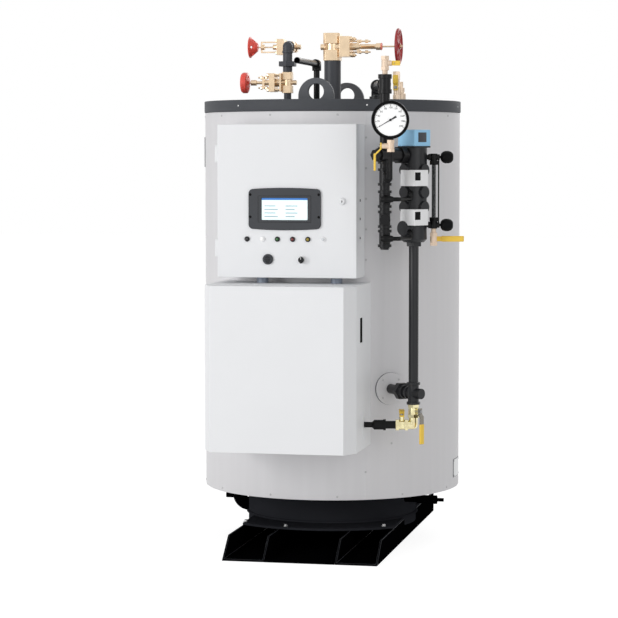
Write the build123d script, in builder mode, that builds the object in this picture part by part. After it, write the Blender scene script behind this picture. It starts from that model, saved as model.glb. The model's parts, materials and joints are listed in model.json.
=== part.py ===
from build123d import *
import os
from math import cos, radians, sin, sqrt

# Vertical steam boiler on a two-rail skid, with its control panel, burner cover and water-level trim.
# Millimetres: X points right, Y back and Z up. The origin is on the floor, under the boiler's axis.

os.makedirs("parts", exist_ok=True)

# Small play between pieces that turn on each other
pin_play = 0.3

# Boiler shell
jacket_radius = 460.0
jacket_wall = 70.0
jacket_bottom = 185.0
jacket_height = 1344.0
band_height = 41.0
band_proud = 4.0
band_wall = 24.0
head_sink = 15.0
bottom_plate = 12.0

# Skid and base: the rails sit a little right of the axis
skid_shift = 17.0
rail_span = 537.0
rail_width = 146.0
rail_height = 75.0
rail_plate = 6.0
rail_front = 668.0
rail_rear = 585.0
rail_nose = 92.0
floor_plate = 6.0
base_plate_radius = 438.0
base_plate_thickness = 8.0
skirt_radius = 305.0
skirt_wall = 10.0
skirt_bottom = 52.0

# Lifting lugs: the eye's rise is taken from the top plate
lug_radius = 63.0
lug_hole_radius = 28.0
lug_thickness = 20.0
lug_hole_rise = 44.5
lug_eye_drop = 15.0
front_lug_y = -290.0
rear_lug_y = 285.0

# Control panel, hung from the shell's top: it stands off the shell's front
panel_left = -289.5
panel_right = 194.5
panel_drop = 46.0
panel_height = 522.0
panel_stand = 103.0
panel_sheet = 3.0
door_depth = 22.0
door_gap = 5.0
panel_back_gap = 12.0
panel_corner = 3.0
hinge_radius = 7.0
hinge_pin_radius = 4.0
hinge_height = 60.0
hinge_inset = 70.0
hinge_leaf = 4.0
hinge_stand = 1.0
latch_x = 145.5
latch_rise = 260.0
latch_radius = 13.0
latch_proud = 9.0

# What sits on the panel door: the rises are taken from the panel's lower edge
bezel_width = 251.0
bezel_height = 134.0
bezel_bulge = 5.0
bezel_depth = 7.0
bezel_corner = 16.0
bezel_x = -53.5
bezel_rise = 234.0
screen_width = 159.5
screen_height = 74.5
screen_depth = 2.0
screen_recess = 3.0
lamp_row_rise = 131.5
lamp_first_x = -185.0
lamp_pitch = 52.9
lamp_count = 6
lamp_radius = 9.0
lamp_proud = 11.0
horn_x = -112.0
horn_rise = 63.0
horn_radius = 18.0
horn_proud = 9.0
knob_x = 5.5
knob_rise = 62.0
knob_radius = 9.5
knob_collar_radius = 14.0
knob_collar_proud = 5.0
knob_proud = 18.0
knob_spindle_radius = 3.8
knob_cap = 4.0
grip_width = 6.0
grip_overhang = 2.0
grip_step = 3.0

# Burner cover under the panel, standing off the shell's front
cover_left = -306.0
cover_right = 216.0
cover_reach = 278.0
cover_gap = 20.0
cover_height = 561.0
cover_chamfer_x = 32.5
cover_chamfer_y = 61.0
cover_sheet = 3.0
grip_slot_set = 128.0
grip_slot_length = 51.0
grip_slot_rise = 366.0
grip_slot_height = 84.0
branch_hole_radius = 22.0
conduit_radius = 20.0
conduit_stand = 50.0
conduit_left_x = -143.0
conduit_right_x = 115.0

# Water column: where it stands, and the way its fittings face
column_angle = 37.0
trim_turn = 11.2
column_radius = 44.0
column_drop = 471.0
column_height = 319.0
column_foot_taper = 10.0
column_cap = 5.0
control_box_side = 79.0
control_box_height = 55.0
control_box_corner = 4.0
probe_box_face = 56.0
probe_box_back = 10.0
probe_box_height = 54.0
boss_radius = 20.0
boss_reach = 53.0
big_boss_radius = 25.0
big_boss_reach = 57.0
leg_rise = 190.0
leg_pipe_radius = 16.7
leg_socket = 2.0
leg_collar_radius = 23.0
leg_collar = 9.0
leg_bushing_radius = 24.0
leg_bushing = 14.0
leg_fitting = 38.0
leg_branch = 32.0
leg_plug_radius = 18.0
leg_plug = 38.0
leg_bare_pipe = 69.0
union_gap = 14.0
union_flats = 54.0
union_length = 46.0
union_nut = 25.0
wall_flange_radius = 56.0
wall_flange_thickness = 6.0

# Rises of the trim above the foot of the water column
probe_box_rises = (190.0, 58.0)
boss_rises = (244.0, 169.0, 119.0)
big_boss_rise = 48.0
tree_union_rise = 294.0
tree_tee_rises = (221.0, 147.0, 80.0, 16.0)
tree_plug_rise = 80.0
tree_foot_drop = 22.0
tube_rises = (147.0, 16.0)
gauge_rise = 409.5
siphon_top_rise = 304.0
siphon_entry_rise = 234.0
siphon_foot_rise = 208.0
glass_upper_rise = 287.0
glass_lower_rise = 58.0

# Steam tree beside the column, and its line to a fixed spot on the top plate
tree_reach = 143.0
tree_tee_half = 29.0
tree_top_rise = 59.0
tree_top_half = 32.0
tree_top_socket = 3.0
tree_top_collar = 14.5
tree_end_flats = 27.0
tree_end = 8.0
tree_plug_reach = 50.0
tree_plug_flats = 34.0
tree_union_start = 8.0
tree_union_nut = 26.0
front_plug_radius = 18.4
front_plug_reach = 28.0
tube_radius = 7.0
tube_bend = 10.0
tube_rise = 22.0
tube_stand = 17.0
tube_left = 13.0
tube_front = 30.0
tube_straight = 46.0
tube_nut_start = -14.0
tube_nut_length = 42.0
tube_nut_radius = 13.5
tube_nut_nose = 8.6
steam_line_heading = 33.4
steam_line_inset = 62.0
steam_line_bend = 30.0
steam_line_collar = 16.0
steam_line_collar_drop = 34.0
vent_nipple = 13.0
vent_nipple_radius = 9.0

# Pressure gauge on its siphon
gauge_reach = 66.0
gauge_right = 18.0
gauge_radius = 63.0
gauge_depth = 36.0
gauge_rim = 8.0
gauge_rim_depth = 4.0
gauge_turn = 3.0
gauge_neck_flats = 18.0
gauge_neck_sink = 4.0
siphon_radius = 6.0
siphon_bend = 9.5
siphon_corner = 9.3
gauge_valve_length = 40.0
gauge_valve_flats = 24.0

# Gauge glass beside the column
glass_reach = 67.0
glass_radius = 8.0
cock_half = 26.0
cock_radius = 12.0
cock_nut_flats = 28.0
cock_nut = 14.0
cock_arm_nut_flats = 22.0
cock_arm_nut = 8.0
cock_arm_gap = 4.0
cock_barrel_radius = 9.6
cock_barrel_past = 3.4
cock_nipple_radius = 8.0
cock_spindle_radius = 5.0
knob_reach = 90.0
knob_length = 42.0
knob_grip_radius = 21.0
guard_reach = 83.0
guard_radius = 2.4
glass_drain_length = 44.0
glass_drain_flats = 24.0
glass_drain_nipple = 14.0

# Ball valves and their levers
ball_waist = 0.46
ball_end = 0.26
stem_boss_radius = 9.0
stem_radius = 4.0
stem_top = 9.0
lever_thickness = 5.0
lever_width = 17.0
lever_hub = 11.0
drain_valve_length = 45.0
drain_valve_flats = 36.0
drain_valve_stem = 28.0
drain_lever_reach = 111.0
drain_lever_jog = 8.0
branch_drop = 25.0
branch_elbow_half = 18.0
branch_elbow_radius = 15.0
branch_valve_length = 42.0
branch_valve_flats = 36.0
branch_valve_stem = 28.0
branch_lever_reach = 88.0
branch_lever_jog = 10.0
branch_pipe_radius = 13.3
branch_tail_radius = 9.5
branch_union_radius = 19.0
branch_union_body = 16.8
branch_union_length = 47.0
branch_union_nut = 9.0
branch_union_taper = 8.0
branch_tail = 27.0
branch_stand = 75.0
branch_reach_in = 20.0
glass_drain_stem = 20.0
glass_lever_reach = 104.0
glass_lever_jog = 6.0
gauge_valve_stem = 30.0
gauge_lever_reach = 82.0
gauge_lever_jog = 20.0
tree_vent_length = 48.0
tree_vent_flats = 26.0
tree_vent_stem = 22.0
tree_vent_grip = 28.0
tree_vent_grip_height = 16.0
tree_vent_grip_width = 10.0

# Gate valves: how their packing glands are made
gland_plate = 8.0
gland_width = 20.0
stud_radius = 3.0
body_barrel = 0.9

# Steam outlet on the boiler's axis
steam_pipe_radius = 30.15
steam_valve_rise = 163.0
steam_valve_height = 99.0
steam_valve_end = 38.0
steam_valve_side = 60.0
steam_valve_corner = 8.0
steam_valve_waist = 26.0
steam_valve_nose = 43.0
steam_nose_radius = 11.0
steam_bonnet_start = 31.0
steam_bonnet_length = 38.0
steam_bonnet_side = 74.0
steam_gland_start = 91.0
steam_gland_height = 50.0
steam_neck_radius = 13.5
steam_stud_spread = 19.5
steam_stud_end = 128.0
steam_sleeve_radius = 9.0
steam_collar_start = 160.0
steam_collar_end = 180.0
steam_collar_radius = 12.5
steam_wheel_seat = 236.0
steam_wheel_radius = 65.5
steam_stem_radius = 3.0
steam_thread = 24.0
steam_thread_radius = 26.2305

# Feed water stack, left of the axis: the rises are taken from the top plate
feed_x = -151.0
feed_y = -70.0
feed_pipe_radius = 13.3
feed_valve_rise = 83.0
feed_valve_height = 75.0
feed_valve_end = 27.0
feed_valve_side = 36.0
feed_valve_corner = 4.0
feed_valve_waist = 16.0
feed_valve_nose = 33.0
feed_nose_radius = 8.6
feed_flange_start = 17.0
feed_flange = 7.0
feed_bonnet_start = 41.5
feed_bonnet_length = 21.0
feed_bonnet_side = 66.0
feed_gland_start = 84.0
feed_gland_height = 44.0
feed_neck_radius = 10.0
feed_stud_spread = 18.5
feed_stud_end = 108.0
feed_sleeve_radius = 5.6
feed_collar_start = 114.0
feed_collar_end = 135.0
feed_collar_radius = 10.0
feed_wheel_seat = 141.0
feed_stem_radius = 3.0
feed_union_rise = 150.0
feed_union_flats = 58.0
feed_union_half = 9.0
feed_coupling_radius = 17.0
feed_elbow_rise = 213.0
feed_elbow_radius = 17.5
feed_elbow_drop = 24.0
feed_bead = 8.0
feed_bead_radius = 20.0
supply_valve_back = 62.0
supply_valve_length = 72.0
supply_valve_end = 23.0
supply_valve_side = 38.0
supply_valve_corner = 6.0
supply_valve_waist = 16.0
supply_nose_radius = 8.6
supply_valve_nose = 36.0
supply_bonnet_start = 22.0
supply_bonnet_length = 26.0
supply_bonnet_side = 57.0
supply_packing = 10.0
supply_packing_radius = 13.0
supply_packing_nut = 19.0
supply_packing_nut_radius = 9.5
supply_yoke_end = 112.0
supply_yoke_half = 18.0
supply_yoke_width = 9.0
supply_yoke_arm = 5.0
supply_yoke_boss = 14.0
supply_yoke_boss_radius = 10.0
supply_wheel_seat = 124.0
supply_stem_radius = 2.5

# Open vent pipe at the top
vent_x = -13.0
vent_y = -222.0
vent_rise = 143.0
vent_end_y = -555.0
vent_pipe_radius = 10.65
vent_bore_radius = 8.3
vent_fitting_radius = 16.0
vent_fitting_half = 24.0

# Small valves at the right of the top
relief_x = 239.0
relief_y = 69.0
relief_height = 88.0
relief_radius = 17.5
bleed_x = 237.0
bleed_y = -15.0
bleed_valve_rise = 65.0
bleed_valve_length = 114.0
bleed_valve_flats = 24.0
bleed_nipple_radius = 9.6
bleed_stem = 18.0
bleed_lever_reach = 44.0
bleed_lever_jog = 4.0

# Drain stub and elbow under the shell
bottom_drain_y = -100.0
bottom_drain_z = 146.5
bottom_drain_radius = 11.0
bottom_drain_start = 330.0
bottom_drain_length = 72.0
bottom_drain_coupling = 15.5
bottom_drain_tip = 24.0
bottom_drain_tip_radius = 6.5
downcomer_radius = 24.0
downcomer_x = -334.0
downcomer_y = -60.0
downcomer_z = 106.0
downcomer_bend = 36.0
downcomer_plug = 49.0
downcomer_plug_drop = 49.0
downcomer_plug_radius = 10.0

# Flue outlet at the back, below the band
flue_radius = 76.0
flue_wall = 2.5
flue_drop = 169.0
flue_proud = 70.0
flue_collar_radius = 105.0
flue_collar = 12.0

# Handwheels: the flat one has spokes, and the cups are pairs of distance and radius
wheel_rim = 6.0
wheel_hub = 12.0
wheel_hub_radius = 12.0
wheel_spokes = 5
wheel_spoke_width = 14.0
wheel_spoke_half = 3.0
feed_cup = ((0, 12), (5, 33), (8, 37.3), (22, 37.3), (28, 33), (25, 29), (13, 12), (13, 8))
supply_cup = ((0, 14.5), (25, 35), (26, 38), (30, 38), (30, 35), (9, 13), (9, 8))
cup_windows = 5
cup_window_radius = 5.0
feed_window_reach = 21.0
supply_window_reach = 26.0

# Worked out from the sizes above
jacket_top = jacket_bottom + jacket_height
band_top = jacket_top + band_height
vessel_radius = jacket_radius - jacket_wall
band_inside = jacket_radius - band_wall
head_top = band_top - head_sink
rail_centre = (rail_span - rail_width) / 2
floor_width = rail_span - 2 * rail_width
skid_length = rail_front + rail_rear
skid_y = (rail_rear - rail_front) / 2
lug_hole_height = head_top + lug_hole_rise
panel_front = -(jacket_radius + panel_stand)
panel_back_y = -(jacket_radius + panel_back_gap)
cover_front = -(jacket_radius + cover_reach)
grip_slot_front = cover_front + grip_slot_set
conduit_y = -(jacket_radius + conduit_stand)
branch_end_y = -(jacket_radius + branch_stand)
door_back = panel_front + door_depth
panel_edge = door_back + door_gap
hinge_x = panel_left - hinge_radius - hinge_stand
hinge_y = panel_edge

# Heights that follow the top of the shell
panel_top = jacket_top - panel_drop
panel_bottom = panel_top - panel_height
latch_z = panel_bottom + latch_rise
bezel_z = panel_bottom + bezel_rise
lamp_row_z = panel_bottom + lamp_row_rise
horn_z = panel_bottom + horn_rise
knob_z = panel_bottom + knob_rise
cover_top = panel_bottom - cover_gap
cover_bottom = cover_top - cover_height
grip_slot_bottom = cover_bottom + grip_slot_rise
leg_height = cover_bottom + leg_rise
flue_height = jacket_top - flue_drop
steam_valve_base = head_top + steam_valve_rise
feed_valve_z = head_top + feed_valve_rise
feed_union_z = head_top + feed_union_rise
feed_elbow_z = head_top + feed_elbow_rise
vent_z = head_top + vent_rise
bleed_valve_z = head_top + bleed_valve_rise
tree_top_tee = head_top + tree_top_rise

# Heights that follow the foot of the water column
column_bottom = head_top - column_drop
column_top = column_bottom + column_height
boss_heights = [column_bottom + rise for rise in boss_rises]
big_boss_height = column_bottom + big_boss_rise
tree_union_height = column_bottom + tree_union_rise
tree_tee_heights = [column_bottom + rise for rise in tree_tee_rises]
tree_bottom = column_bottom - tree_foot_drop
gauge_height = column_bottom + gauge_rise
siphon_top = column_bottom + siphon_top_rise
siphon_entry = column_bottom + siphon_entry_rise
siphon_bottom = column_bottom + siphon_foot_rise
glass_upper_z = column_bottom + glass_upper_rise
glass_lower_z = column_bottom + glass_lower_rise

# The column stands off the shell by the flange, bare pipe, union and fitting of its leg
union_start = jacket_radius + wall_flange_thickness + leg_bare_pipe
column_reach = union_start + union_length + union_gap + leg_fitting


def heading(angle):
    """Level direction, in degrees from the front towards the right."""
    return Vector(sin(radians(angle)), -cos(radians(angle)), 0)


def facing(point, angle):
    """Plane at a point that looks along a level heading, with its Y axis up."""
    return Plane(origin=point, x_dir=heading(angle + 90), z_dir=heading(angle))


def upright(point, angle=0.0):
    """Level plane at a point, with its X axis along a heading."""
    return Plane(origin=point, x_dir=heading(angle), z_dir=(0, 0, 1))


def at_height(point, z):
    """The point at another height."""
    return Vector(point.X, point.Y, z)


def rod(plane, radius, start, end, mode=Mode.ADD):
    """Round bar along the plane's normal."""
    with Locations(plane.offset(start).location):
        Cylinder(radius, end - start, align=(Align.CENTER, Align.CENTER, Align.MIN), mode=mode)


def bar(plane, x_size, y_size, start, end, mode=Mode.ADD):
    """Square bar along the plane's normal."""
    with Locations(plane.offset(start).location):
        Box(x_size, y_size, end - start, align=(Align.CENTER, Align.CENTER, Align.MIN), mode=mode)


def nut(plane, flats, start, end):
    """Six-sided bar along the plane's normal."""
    with BuildSketch(plane.offset(start)) as section:
        RegularPolygon(flats / 2, 6, major_radius=False)
    extrude(section.sketch, amount=end - start)


def block(plane, side, corner, start, end):
    """Square bar with cut corners along the plane's normal."""
    with BuildSketch(plane.offset(start)) as section:
        Rectangle(side, side)
        chamfer(section.vertices(), corner)
    extrude(section.sketch, amount=end - start)


def column_bosses(mode=Mode.ADD):
    """Round bosses of the water column, in two rows, with the big one low at the left."""
    for way in (left_way, right_way):
        for height in boss_heights:
            rod(facing(at_height(column_foot, height), way), boss_radius, 0, boss_reach, mode=mode)
    big_boss = facing(at_height(column_foot, big_boss_height), left_way)
    rod(big_boss, big_boss_radius, 0, big_boss_reach, mode=mode)


def column_cut():
    """Take away what would stand inside the water column and its bosses."""
    rod(column_axis, column_radius, column_bottom, column_top, mode=Mode.SUBTRACT)
    column_bosses(mode=Mode.SUBTRACT)


def shell_cut(height, reach):
    """Take away what would stand inside the boiler's shell, above and below a height."""
    rod(Plane.XY, jacket_radius, height - reach, height + reach, mode=Mode.SUBTRACT)


def turned(plane, profile):
    """Turned piece about the plane's normal, from pairs of distance and radius."""
    side = Plane(origin=plane.origin, x_dir=plane.z_dir, z_dir=plane.x_dir)
    with BuildSketch(side) as section:
        with BuildLine():
            Polyline((profile[0][0], 0), *profile, (profile[-1][0], 0), close=True)
        make_face()
    revolve(section.sketch, axis=Axis(plane.origin, plane.z_dir))


def bent_pipe(points, bend, radius):
    """Round pipe along straight runs with rounded corners."""
    with BuildLine() as route:
        FilletPolyline(*points, radius=bend)
    start = route.wires()[0]
    with BuildSketch(Plane(origin=start @ 0, z_dir=start % 0)) as section:
        Circle(radius)
    sweep(section.sketch, path=start)


def tee(plane, half, radius, collar_radius, collar):
    """Straight run of a threaded fitting, with a collar at each end."""
    turned(
        plane,
        [
            (-half, collar_radius),
            (-half + collar, collar_radius),
            (-half + collar, radius),
            (half - collar, radius),
            (half - collar, collar_radius),
            (half, collar_radius),
        ],
    )


def ball_valve(flow, stem, length, flats, stem_height):
    """Ball valve: six-sided ends, a round middle, a stem boss and the stem's pin."""
    end = length * ball_end
    nut(flow, flats, -length / 2, -length / 2 + end)
    nut(flow, flats, length / 2 - end, length / 2)
    rod(flow, flats * ball_waist, -length / 2 + end, length / 2 - end)
    rod(stem, stem_boss_radius, 0, stem_height)
    rod(stem, stem_radius, stem_height, stem_height + stem_top)


def lever(stem, height, reach, jog):
    """Flat lever on a valve stem, stepped outwards past its hub, along the stem plane's X axis."""
    low = height + pin_play
    knee = lever_hub + jog
    side = Plane(origin=stem.origin, x_dir=stem.x_dir, z_dir=-stem.y_dir)
    with BuildSketch(side) as section:
        with BuildLine():
            Polyline(
                (-lever_hub, low),
                (lever_hub, low),
                (knee, low + jog),
                (reach, low + jog),
                (reach, low + jog + lever_thickness),
                (knee - lever_thickness / 2, low + jog + lever_thickness),
                (lever_hub - lever_thickness / 2, low + lever_thickness),
                (-lever_hub, low + lever_thickness),
                close=True,
            )
        make_face()
    extrude(section.sketch, amount=lever_width / 2, both=True)
    rod(stem, stem_radius + pin_play, low, low + lever_thickness, mode=Mode.SUBTRACT)


def gate_body(flow, stem, height, end, side, corner, waist, nose, nose_radius):
    """Gate valve body: square ends with cut corners, a round waist and a guide nose."""
    block(flow, side, corner, -height / 2, -height / 2 + end)
    block(flow, side, corner, height / 2 - end, height / 2)
    rod(flow, waist, -height / 2 + end, height / 2 - end)
    rod(stem, nose_radius, -nose, 0)


def bonnet(stem, barrel, start, length, side):
    """Barrel out of a gate valve's body, and the square bonnet on it."""
    rod(stem, barrel, 0, start)
    bar(stem, side, side, start, start + length)


def packing_gland(stem, neck_start, neck, gland_start, gland_height, sleeve, collar, stem_end, stem_radius):
    """Neck, gland flange, sleeve and stem of a valve. The sleeve's collar is start, end and radius."""
    collar_start, collar_end, collar_radius = collar
    gland_end = gland_start + gland_plate
    turned(
        stem,
        [
            (neck_start, neck),
            (gland_end, neck),
            (gland_end, sleeve),
            (collar_start, sleeve),
            (collar_start, collar_radius),
            (collar_end, collar_radius),
            (collar_end, stem_radius),
            (stem_end, stem_radius),
        ],
    )
    bar(stem, gland_width, gland_height, gland_start, gland_end)


def gland_studs(stem, spread, start, end):
    """Two studs beside the neck, above and below it."""
    for offset in (-spread, spread):
        stud = Plane(origin=stem.from_local_coords((0, offset, 0)), x_dir=stem.x_dir, z_dir=stem.z_dir)
        rod(stud, stud_radius, start, end)


def handwheel(stem, seat, radius, stem_radius):
    """Flat spoked handwheel on a valve stem."""
    middle = stem.offset(seat + wheel_hub / 2)
    with BuildSketch(Plane(origin=middle.origin, x_dir=stem.z_dir, z_dir=stem.x_dir)) as rim:
        with Locations((0, radius - wheel_rim)):
            RegularPolygon(wheel_rim, 8)
    revolve(rim.sketch, axis=Axis(stem.origin, stem.z_dir))
    rod(stem, wheel_hub_radius, seat, seat + wheel_hub)
    for turn in range(wheel_spokes):
        spoke = Plane(
            origin=middle.origin,
            x_dir=stem.x_dir.rotate(Axis((0, 0, 0), stem.z_dir), 360.0 * turn / wheel_spokes),
            z_dir=stem.z_dir,
        )
        with Locations(spoke.location):
            Box(
                radius - wheel_rim,
                wheel_spoke_width,
                2 * wheel_spoke_half,
                align=(Align.MIN, Align.CENTER, Align.CENTER),
            )
    rod(stem, stem_radius + pin_play, seat - pin_play, seat + wheel_hub + pin_play, mode=Mode.SUBTRACT)


def cup_wheel(stem, seat, cup, stem_radius, window_reach):
    """Cup-shaped handwheel on a valve stem, with round windows in its wall."""
    turned(stem.offset(seat), cup)
    depth = max(distance for distance, _ in cup)
    for turn in range(cup_windows):
        way = stem.x_dir.rotate(Axis((0, 0, 0), stem.z_dir), 360.0 * turn / cup_windows)
        window = Plane(origin=stem.origin + way * window_reach, x_dir=stem.x_dir, z_dir=stem.z_dir)
        rod(window, cup_window_radius, seat - pin_play, seat + depth + pin_play, mode=Mode.SUBTRACT)
    rod(stem, stem_radius + pin_play, seat - pin_play, seat + depth, mode=Mode.SUBTRACT)


# Skid rails: open-topped channels bent from plate, with sloped front ends
def rail(side):
    """One skid channel, left or right of the axis."""
    centre = skid_shift + side * rail_centre
    with BuildPart() as channel:
        with BuildSketch(Plane.YZ.offset(centre - rail_width / 2)):
            with BuildLine():
                Polyline(
                    (-rail_front, 0),
                    (rail_rear, 0),
                    (rail_rear, rail_height),
                    (-rail_front + rail_nose, rail_height),
                    close=True,
                )
            make_face()
        extrude(amount=rail_width)
        inside = rail_width - 2 * rail_plate
        with Locations((centre, skid_y, rail_plate)):
            Box(
                inside,
                skid_length + 2 * rail_plate,
                rail_height,
                align=(Align.CENTER, Align.CENTER, Align.MIN),
                mode=Mode.SUBTRACT,
            )
    return channel


skid_rail_left = rail(-1)
skid_rail_left.part.label = "skid_rail_left"
export_step(skid_rail_left.part, "parts/skid_rail_left.step")

skid_rail_right = rail(1)
skid_rail_right.part.label = "skid_rail_right"
export_step(skid_rail_right.part, "parts/skid_rail_right.step")

# Floor plate between the rails
with BuildPart() as skid_floor:
    with Locations((skid_shift, skid_y, 0)):
        Box(floor_width, skid_length, floor_plate, align=(Align.CENTER, Align.CENTER, Align.MIN))
skid_floor.part.label = "skid_floor"
export_step(skid_floor.part, "parts/skid_floor.step")

# Base plate across the rails, with the round skirt that carries the vessel and reaches down between them
with BuildPart() as base_skirt:
    with BuildSketch(Plane.XY.offset(rail_height)):
        Circle(base_plate_radius)
        with Locations((skid_shift, 0)):
            Rectangle(rail_span, 2 * base_plate_radius, mode=Mode.INTERSECT)
    extrude(amount=base_plate_thickness)
    rod(Plane.XY, skirt_radius, skirt_bottom, jacket_bottom)
    for side in (-1, 1):
        with Locations((skid_shift + side * rail_centre, skid_y, 0)):
            Box(
                rail_width,
                skid_length,
                rail_height,
                align=(Align.CENTER, Align.CENTER, Align.MIN),
                mode=Mode.SUBTRACT,
            )
    rod(Plane.XY, skirt_radius - skirt_wall, 0, jacket_bottom, mode=Mode.SUBTRACT)
base_skirt.part.label = "base_skirt"
export_step(base_skirt.part, "parts/base_skirt.step")

# Flat bottom of the vessel, inside the jacket
with BuildPart() as bottom_head:
    with BuildSketch(Plane.XY.offset(jacket_bottom)):
        Circle(vessel_radius)
    extrude(amount=bottom_plate)
bottom_head.part.label = "bottom_head"
export_step(bottom_head.part, "parts/bottom_head.step")

# Insulated jacket with the vessel wall inside it
with BuildPart() as boiler_jacket:
    with BuildSketch(Plane.XY.offset(jacket_bottom)):
        Circle(jacket_radius)
        Circle(vessel_radius, mode=Mode.SUBTRACT)
    extrude(amount=jacket_height)
boiler_jacket.part.label = "boiler_jacket"
export_step(boiler_jacket.part, "parts/boiler_jacket.step")

# Dark band round the top edge
with BuildPart() as top_band:
    with BuildSketch(Plane.XY.offset(jacket_top)):
        Circle(jacket_radius + band_proud)
        Circle(band_inside, mode=Mode.SUBTRACT)
    extrude(amount=band_height)
top_band.part.label = "top_band"
export_step(top_band.part, "parts/top_band.step")

# Flat top plate inside the band
with BuildPart() as top_head:
    with BuildSketch(Plane.XY.offset(jacket_top)):
        Circle(band_inside)
    extrude(amount=head_top - jacket_top)
top_head.part.label = "top_head"
export_step(top_head.part, "parts/top_head.step")


def lug(y):
    """Round-topped lifting plate that stands on the top plate."""
    with BuildPart() as plate:
        with BuildSketch(Plane.XZ.offset(-y - lug_thickness / 2)):
            with Locations((0, lug_hole_height - lug_eye_drop)):
                Circle(lug_radius)
            with Locations((0, head_top)):
                Rectangle(
                    2 * lug_radius,
                    lug_hole_height - lug_eye_drop - head_top,
                    align=(Align.CENTER, Align.MIN),
                )
                Rectangle(2 * lug_radius, lug_radius, align=(Align.CENTER, Align.MAX), mode=Mode.SUBTRACT)
            with Locations((0, lug_hole_height)):
                Circle(lug_hole_radius, mode=Mode.SUBTRACT)
        extrude(amount=lug_thickness)
    return plate


lifting_lug_front = lug(front_lug_y)
lifting_lug_front.part.label = "lifting_lug_front"
export_step(lifting_lug_front.part, "parts/lifting_lug_front.step")

lifting_lug_rear = lug(rear_lug_y)
lifting_lug_rear.part.label = "lifting_lug_rear"
export_step(lifting_lug_rear.part, "parts/lifting_lug_rear.step")

# Control panel enclosure: its sides run back to the shell, and hinge pins stand on its left side
panel_width = panel_right - panel_left
panel_x = (panel_left + panel_right) / 2
panel_z = (panel_bottom + panel_top) / 2
hinge_heights = (panel_bottom + hinge_inset, panel_top - hinge_inset - hinge_height)
with BuildPart() as control_enclosure:
    with BuildSketch(Plane.XZ.offset(-panel_edge)):
        with Locations((panel_x, panel_z)):
            Rectangle(panel_width, panel_height)
    extrude(amount=panel_edge)
    with BuildSketch(Plane.XZ.offset(-panel_edge)):
        with Locations((panel_x, panel_z)):
            Rectangle(panel_width - 2 * panel_sheet, panel_height - 2 * panel_sheet)
    extrude(amount=panel_edge - panel_back_y, mode=Mode.SUBTRACT)
    with BuildSketch(Plane.XZ.offset(-panel_back_y - panel_sheet)):
        with Locations((panel_x, panel_z)):
            Rectangle(panel_width - 2 * panel_sheet, panel_height - 2 * panel_sheet)
    extrude(amount=panel_back_y + panel_sheet, mode=Mode.SUBTRACT)
    shell_cut(panel_z, panel_height)
    for low in hinge_heights:
        pivot = upright((hinge_x, hinge_y, 0))
        rod(pivot, hinge_pin_radius, low, low + hinge_height)
        for end in (low, low + hinge_height - hinge_leaf):
            rod(pivot, hinge_radius, end, end + hinge_leaf)
            leaf_length = panel_left - hinge_x
            with Locations((hinge_x, hinge_y, end)):
                Box(leaf_length, 2 * hinge_radius, hinge_leaf, align=(Align.MIN, Align.MIN, Align.MIN))
control_enclosure.part.label = "control_enclosure"
export_step(control_enclosure.part, "parts/control_enclosure.step")

# Panel door: a shallow tray with barrels round the hinge pins
barrel_bore = hinge_pin_radius + pin_play
barrel_low = hinge_leaf + pin_play
barrel_high = hinge_height - hinge_leaf - pin_play
with BuildPart() as control_door:
    with BuildSketch(Plane.XZ.offset(-door_back)):
        with Locations((panel_x, panel_z)):
            Rectangle(panel_width, panel_height)
    extrude(amount=door_depth)
    fillet(control_door.faces().sort_by(Axis.Y)[0].edges(), panel_corner)
    with BuildSketch(Plane.XZ.offset(-door_back)):
        with Locations((panel_x, panel_z)):
            Rectangle(panel_width - 2 * panel_sheet, panel_height - 2 * panel_sheet)
    extrude(amount=door_depth - panel_sheet, mode=Mode.SUBTRACT)
    for low in hinge_heights:
        pivot = upright((hinge_x, hinge_y, 0))
        rod(pivot, hinge_radius, low + barrel_low, low + barrel_high)
        with Locations((hinge_x, door_back - hinge_radius, low + barrel_low)):
            Box(
                panel_left - hinge_x + panel_sheet,
                hinge_radius + door_gap,
                barrel_high - barrel_low,
                align=(Align.MIN, Align.MIN, Align.MIN),
            )
        with Locations((panel_left, door_back, low)):
            Box(
                panel_width,
                2 * door_gap,
                hinge_height,
                align=(Align.MIN, Align.MIN, Align.MIN),
                mode=Mode.SUBTRACT,
            )
        rod(pivot, barrel_bore, low, low + hinge_height, mode=Mode.SUBTRACT)
control_door.part.label = "control_door"
export_step(control_door.part, "parts/control_door.step")

# Display bezel with arched long sides
with BuildPart() as screen_bezel:
    half_width = bezel_width / 2
    half_height = bezel_height / 2
    with BuildSketch(facing((bezel_x, panel_front, bezel_z), 0)):
        with BuildLine():
            crown = half_height + bezel_bulge
            ThreePointArc((-half_width, half_height), (0, crown), (half_width, half_height))
            Line((half_width, half_height), (half_width, -half_height))
            ThreePointArc((half_width, -half_height), (0, -crown), (-half_width, -half_height))
            Line((-half_width, -half_height), (-half_width, half_height))
        make_face()
    extrude(amount=bezel_depth)
    fillet(screen_bezel.edges().filter_by(Axis.Y), bezel_corner)
    with BuildSketch(Plane.XZ.offset(-panel_front + bezel_depth)):
        with Locations((bezel_x, bezel_z)):
            Rectangle(screen_width, screen_height)
    extrude(amount=-screen_recess - screen_depth, mode=Mode.SUBTRACT)
screen_bezel.part.label = "screen_bezel"
export_step(screen_bezel.part, "parts/screen_bezel.step")

# Display glass, set back in the bezel
with BuildPart() as display_screen:
    with BuildSketch(Plane.XZ.offset(-panel_front + bezel_depth - screen_recess - screen_depth)):
        with Locations((bezel_x, bezel_z)):
            Rectangle(screen_width, screen_height)
    extrude(amount=screen_depth)
display_screen.part.label = "display_screen"
export_step(display_screen.part, "parts/display_screen.step")

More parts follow.
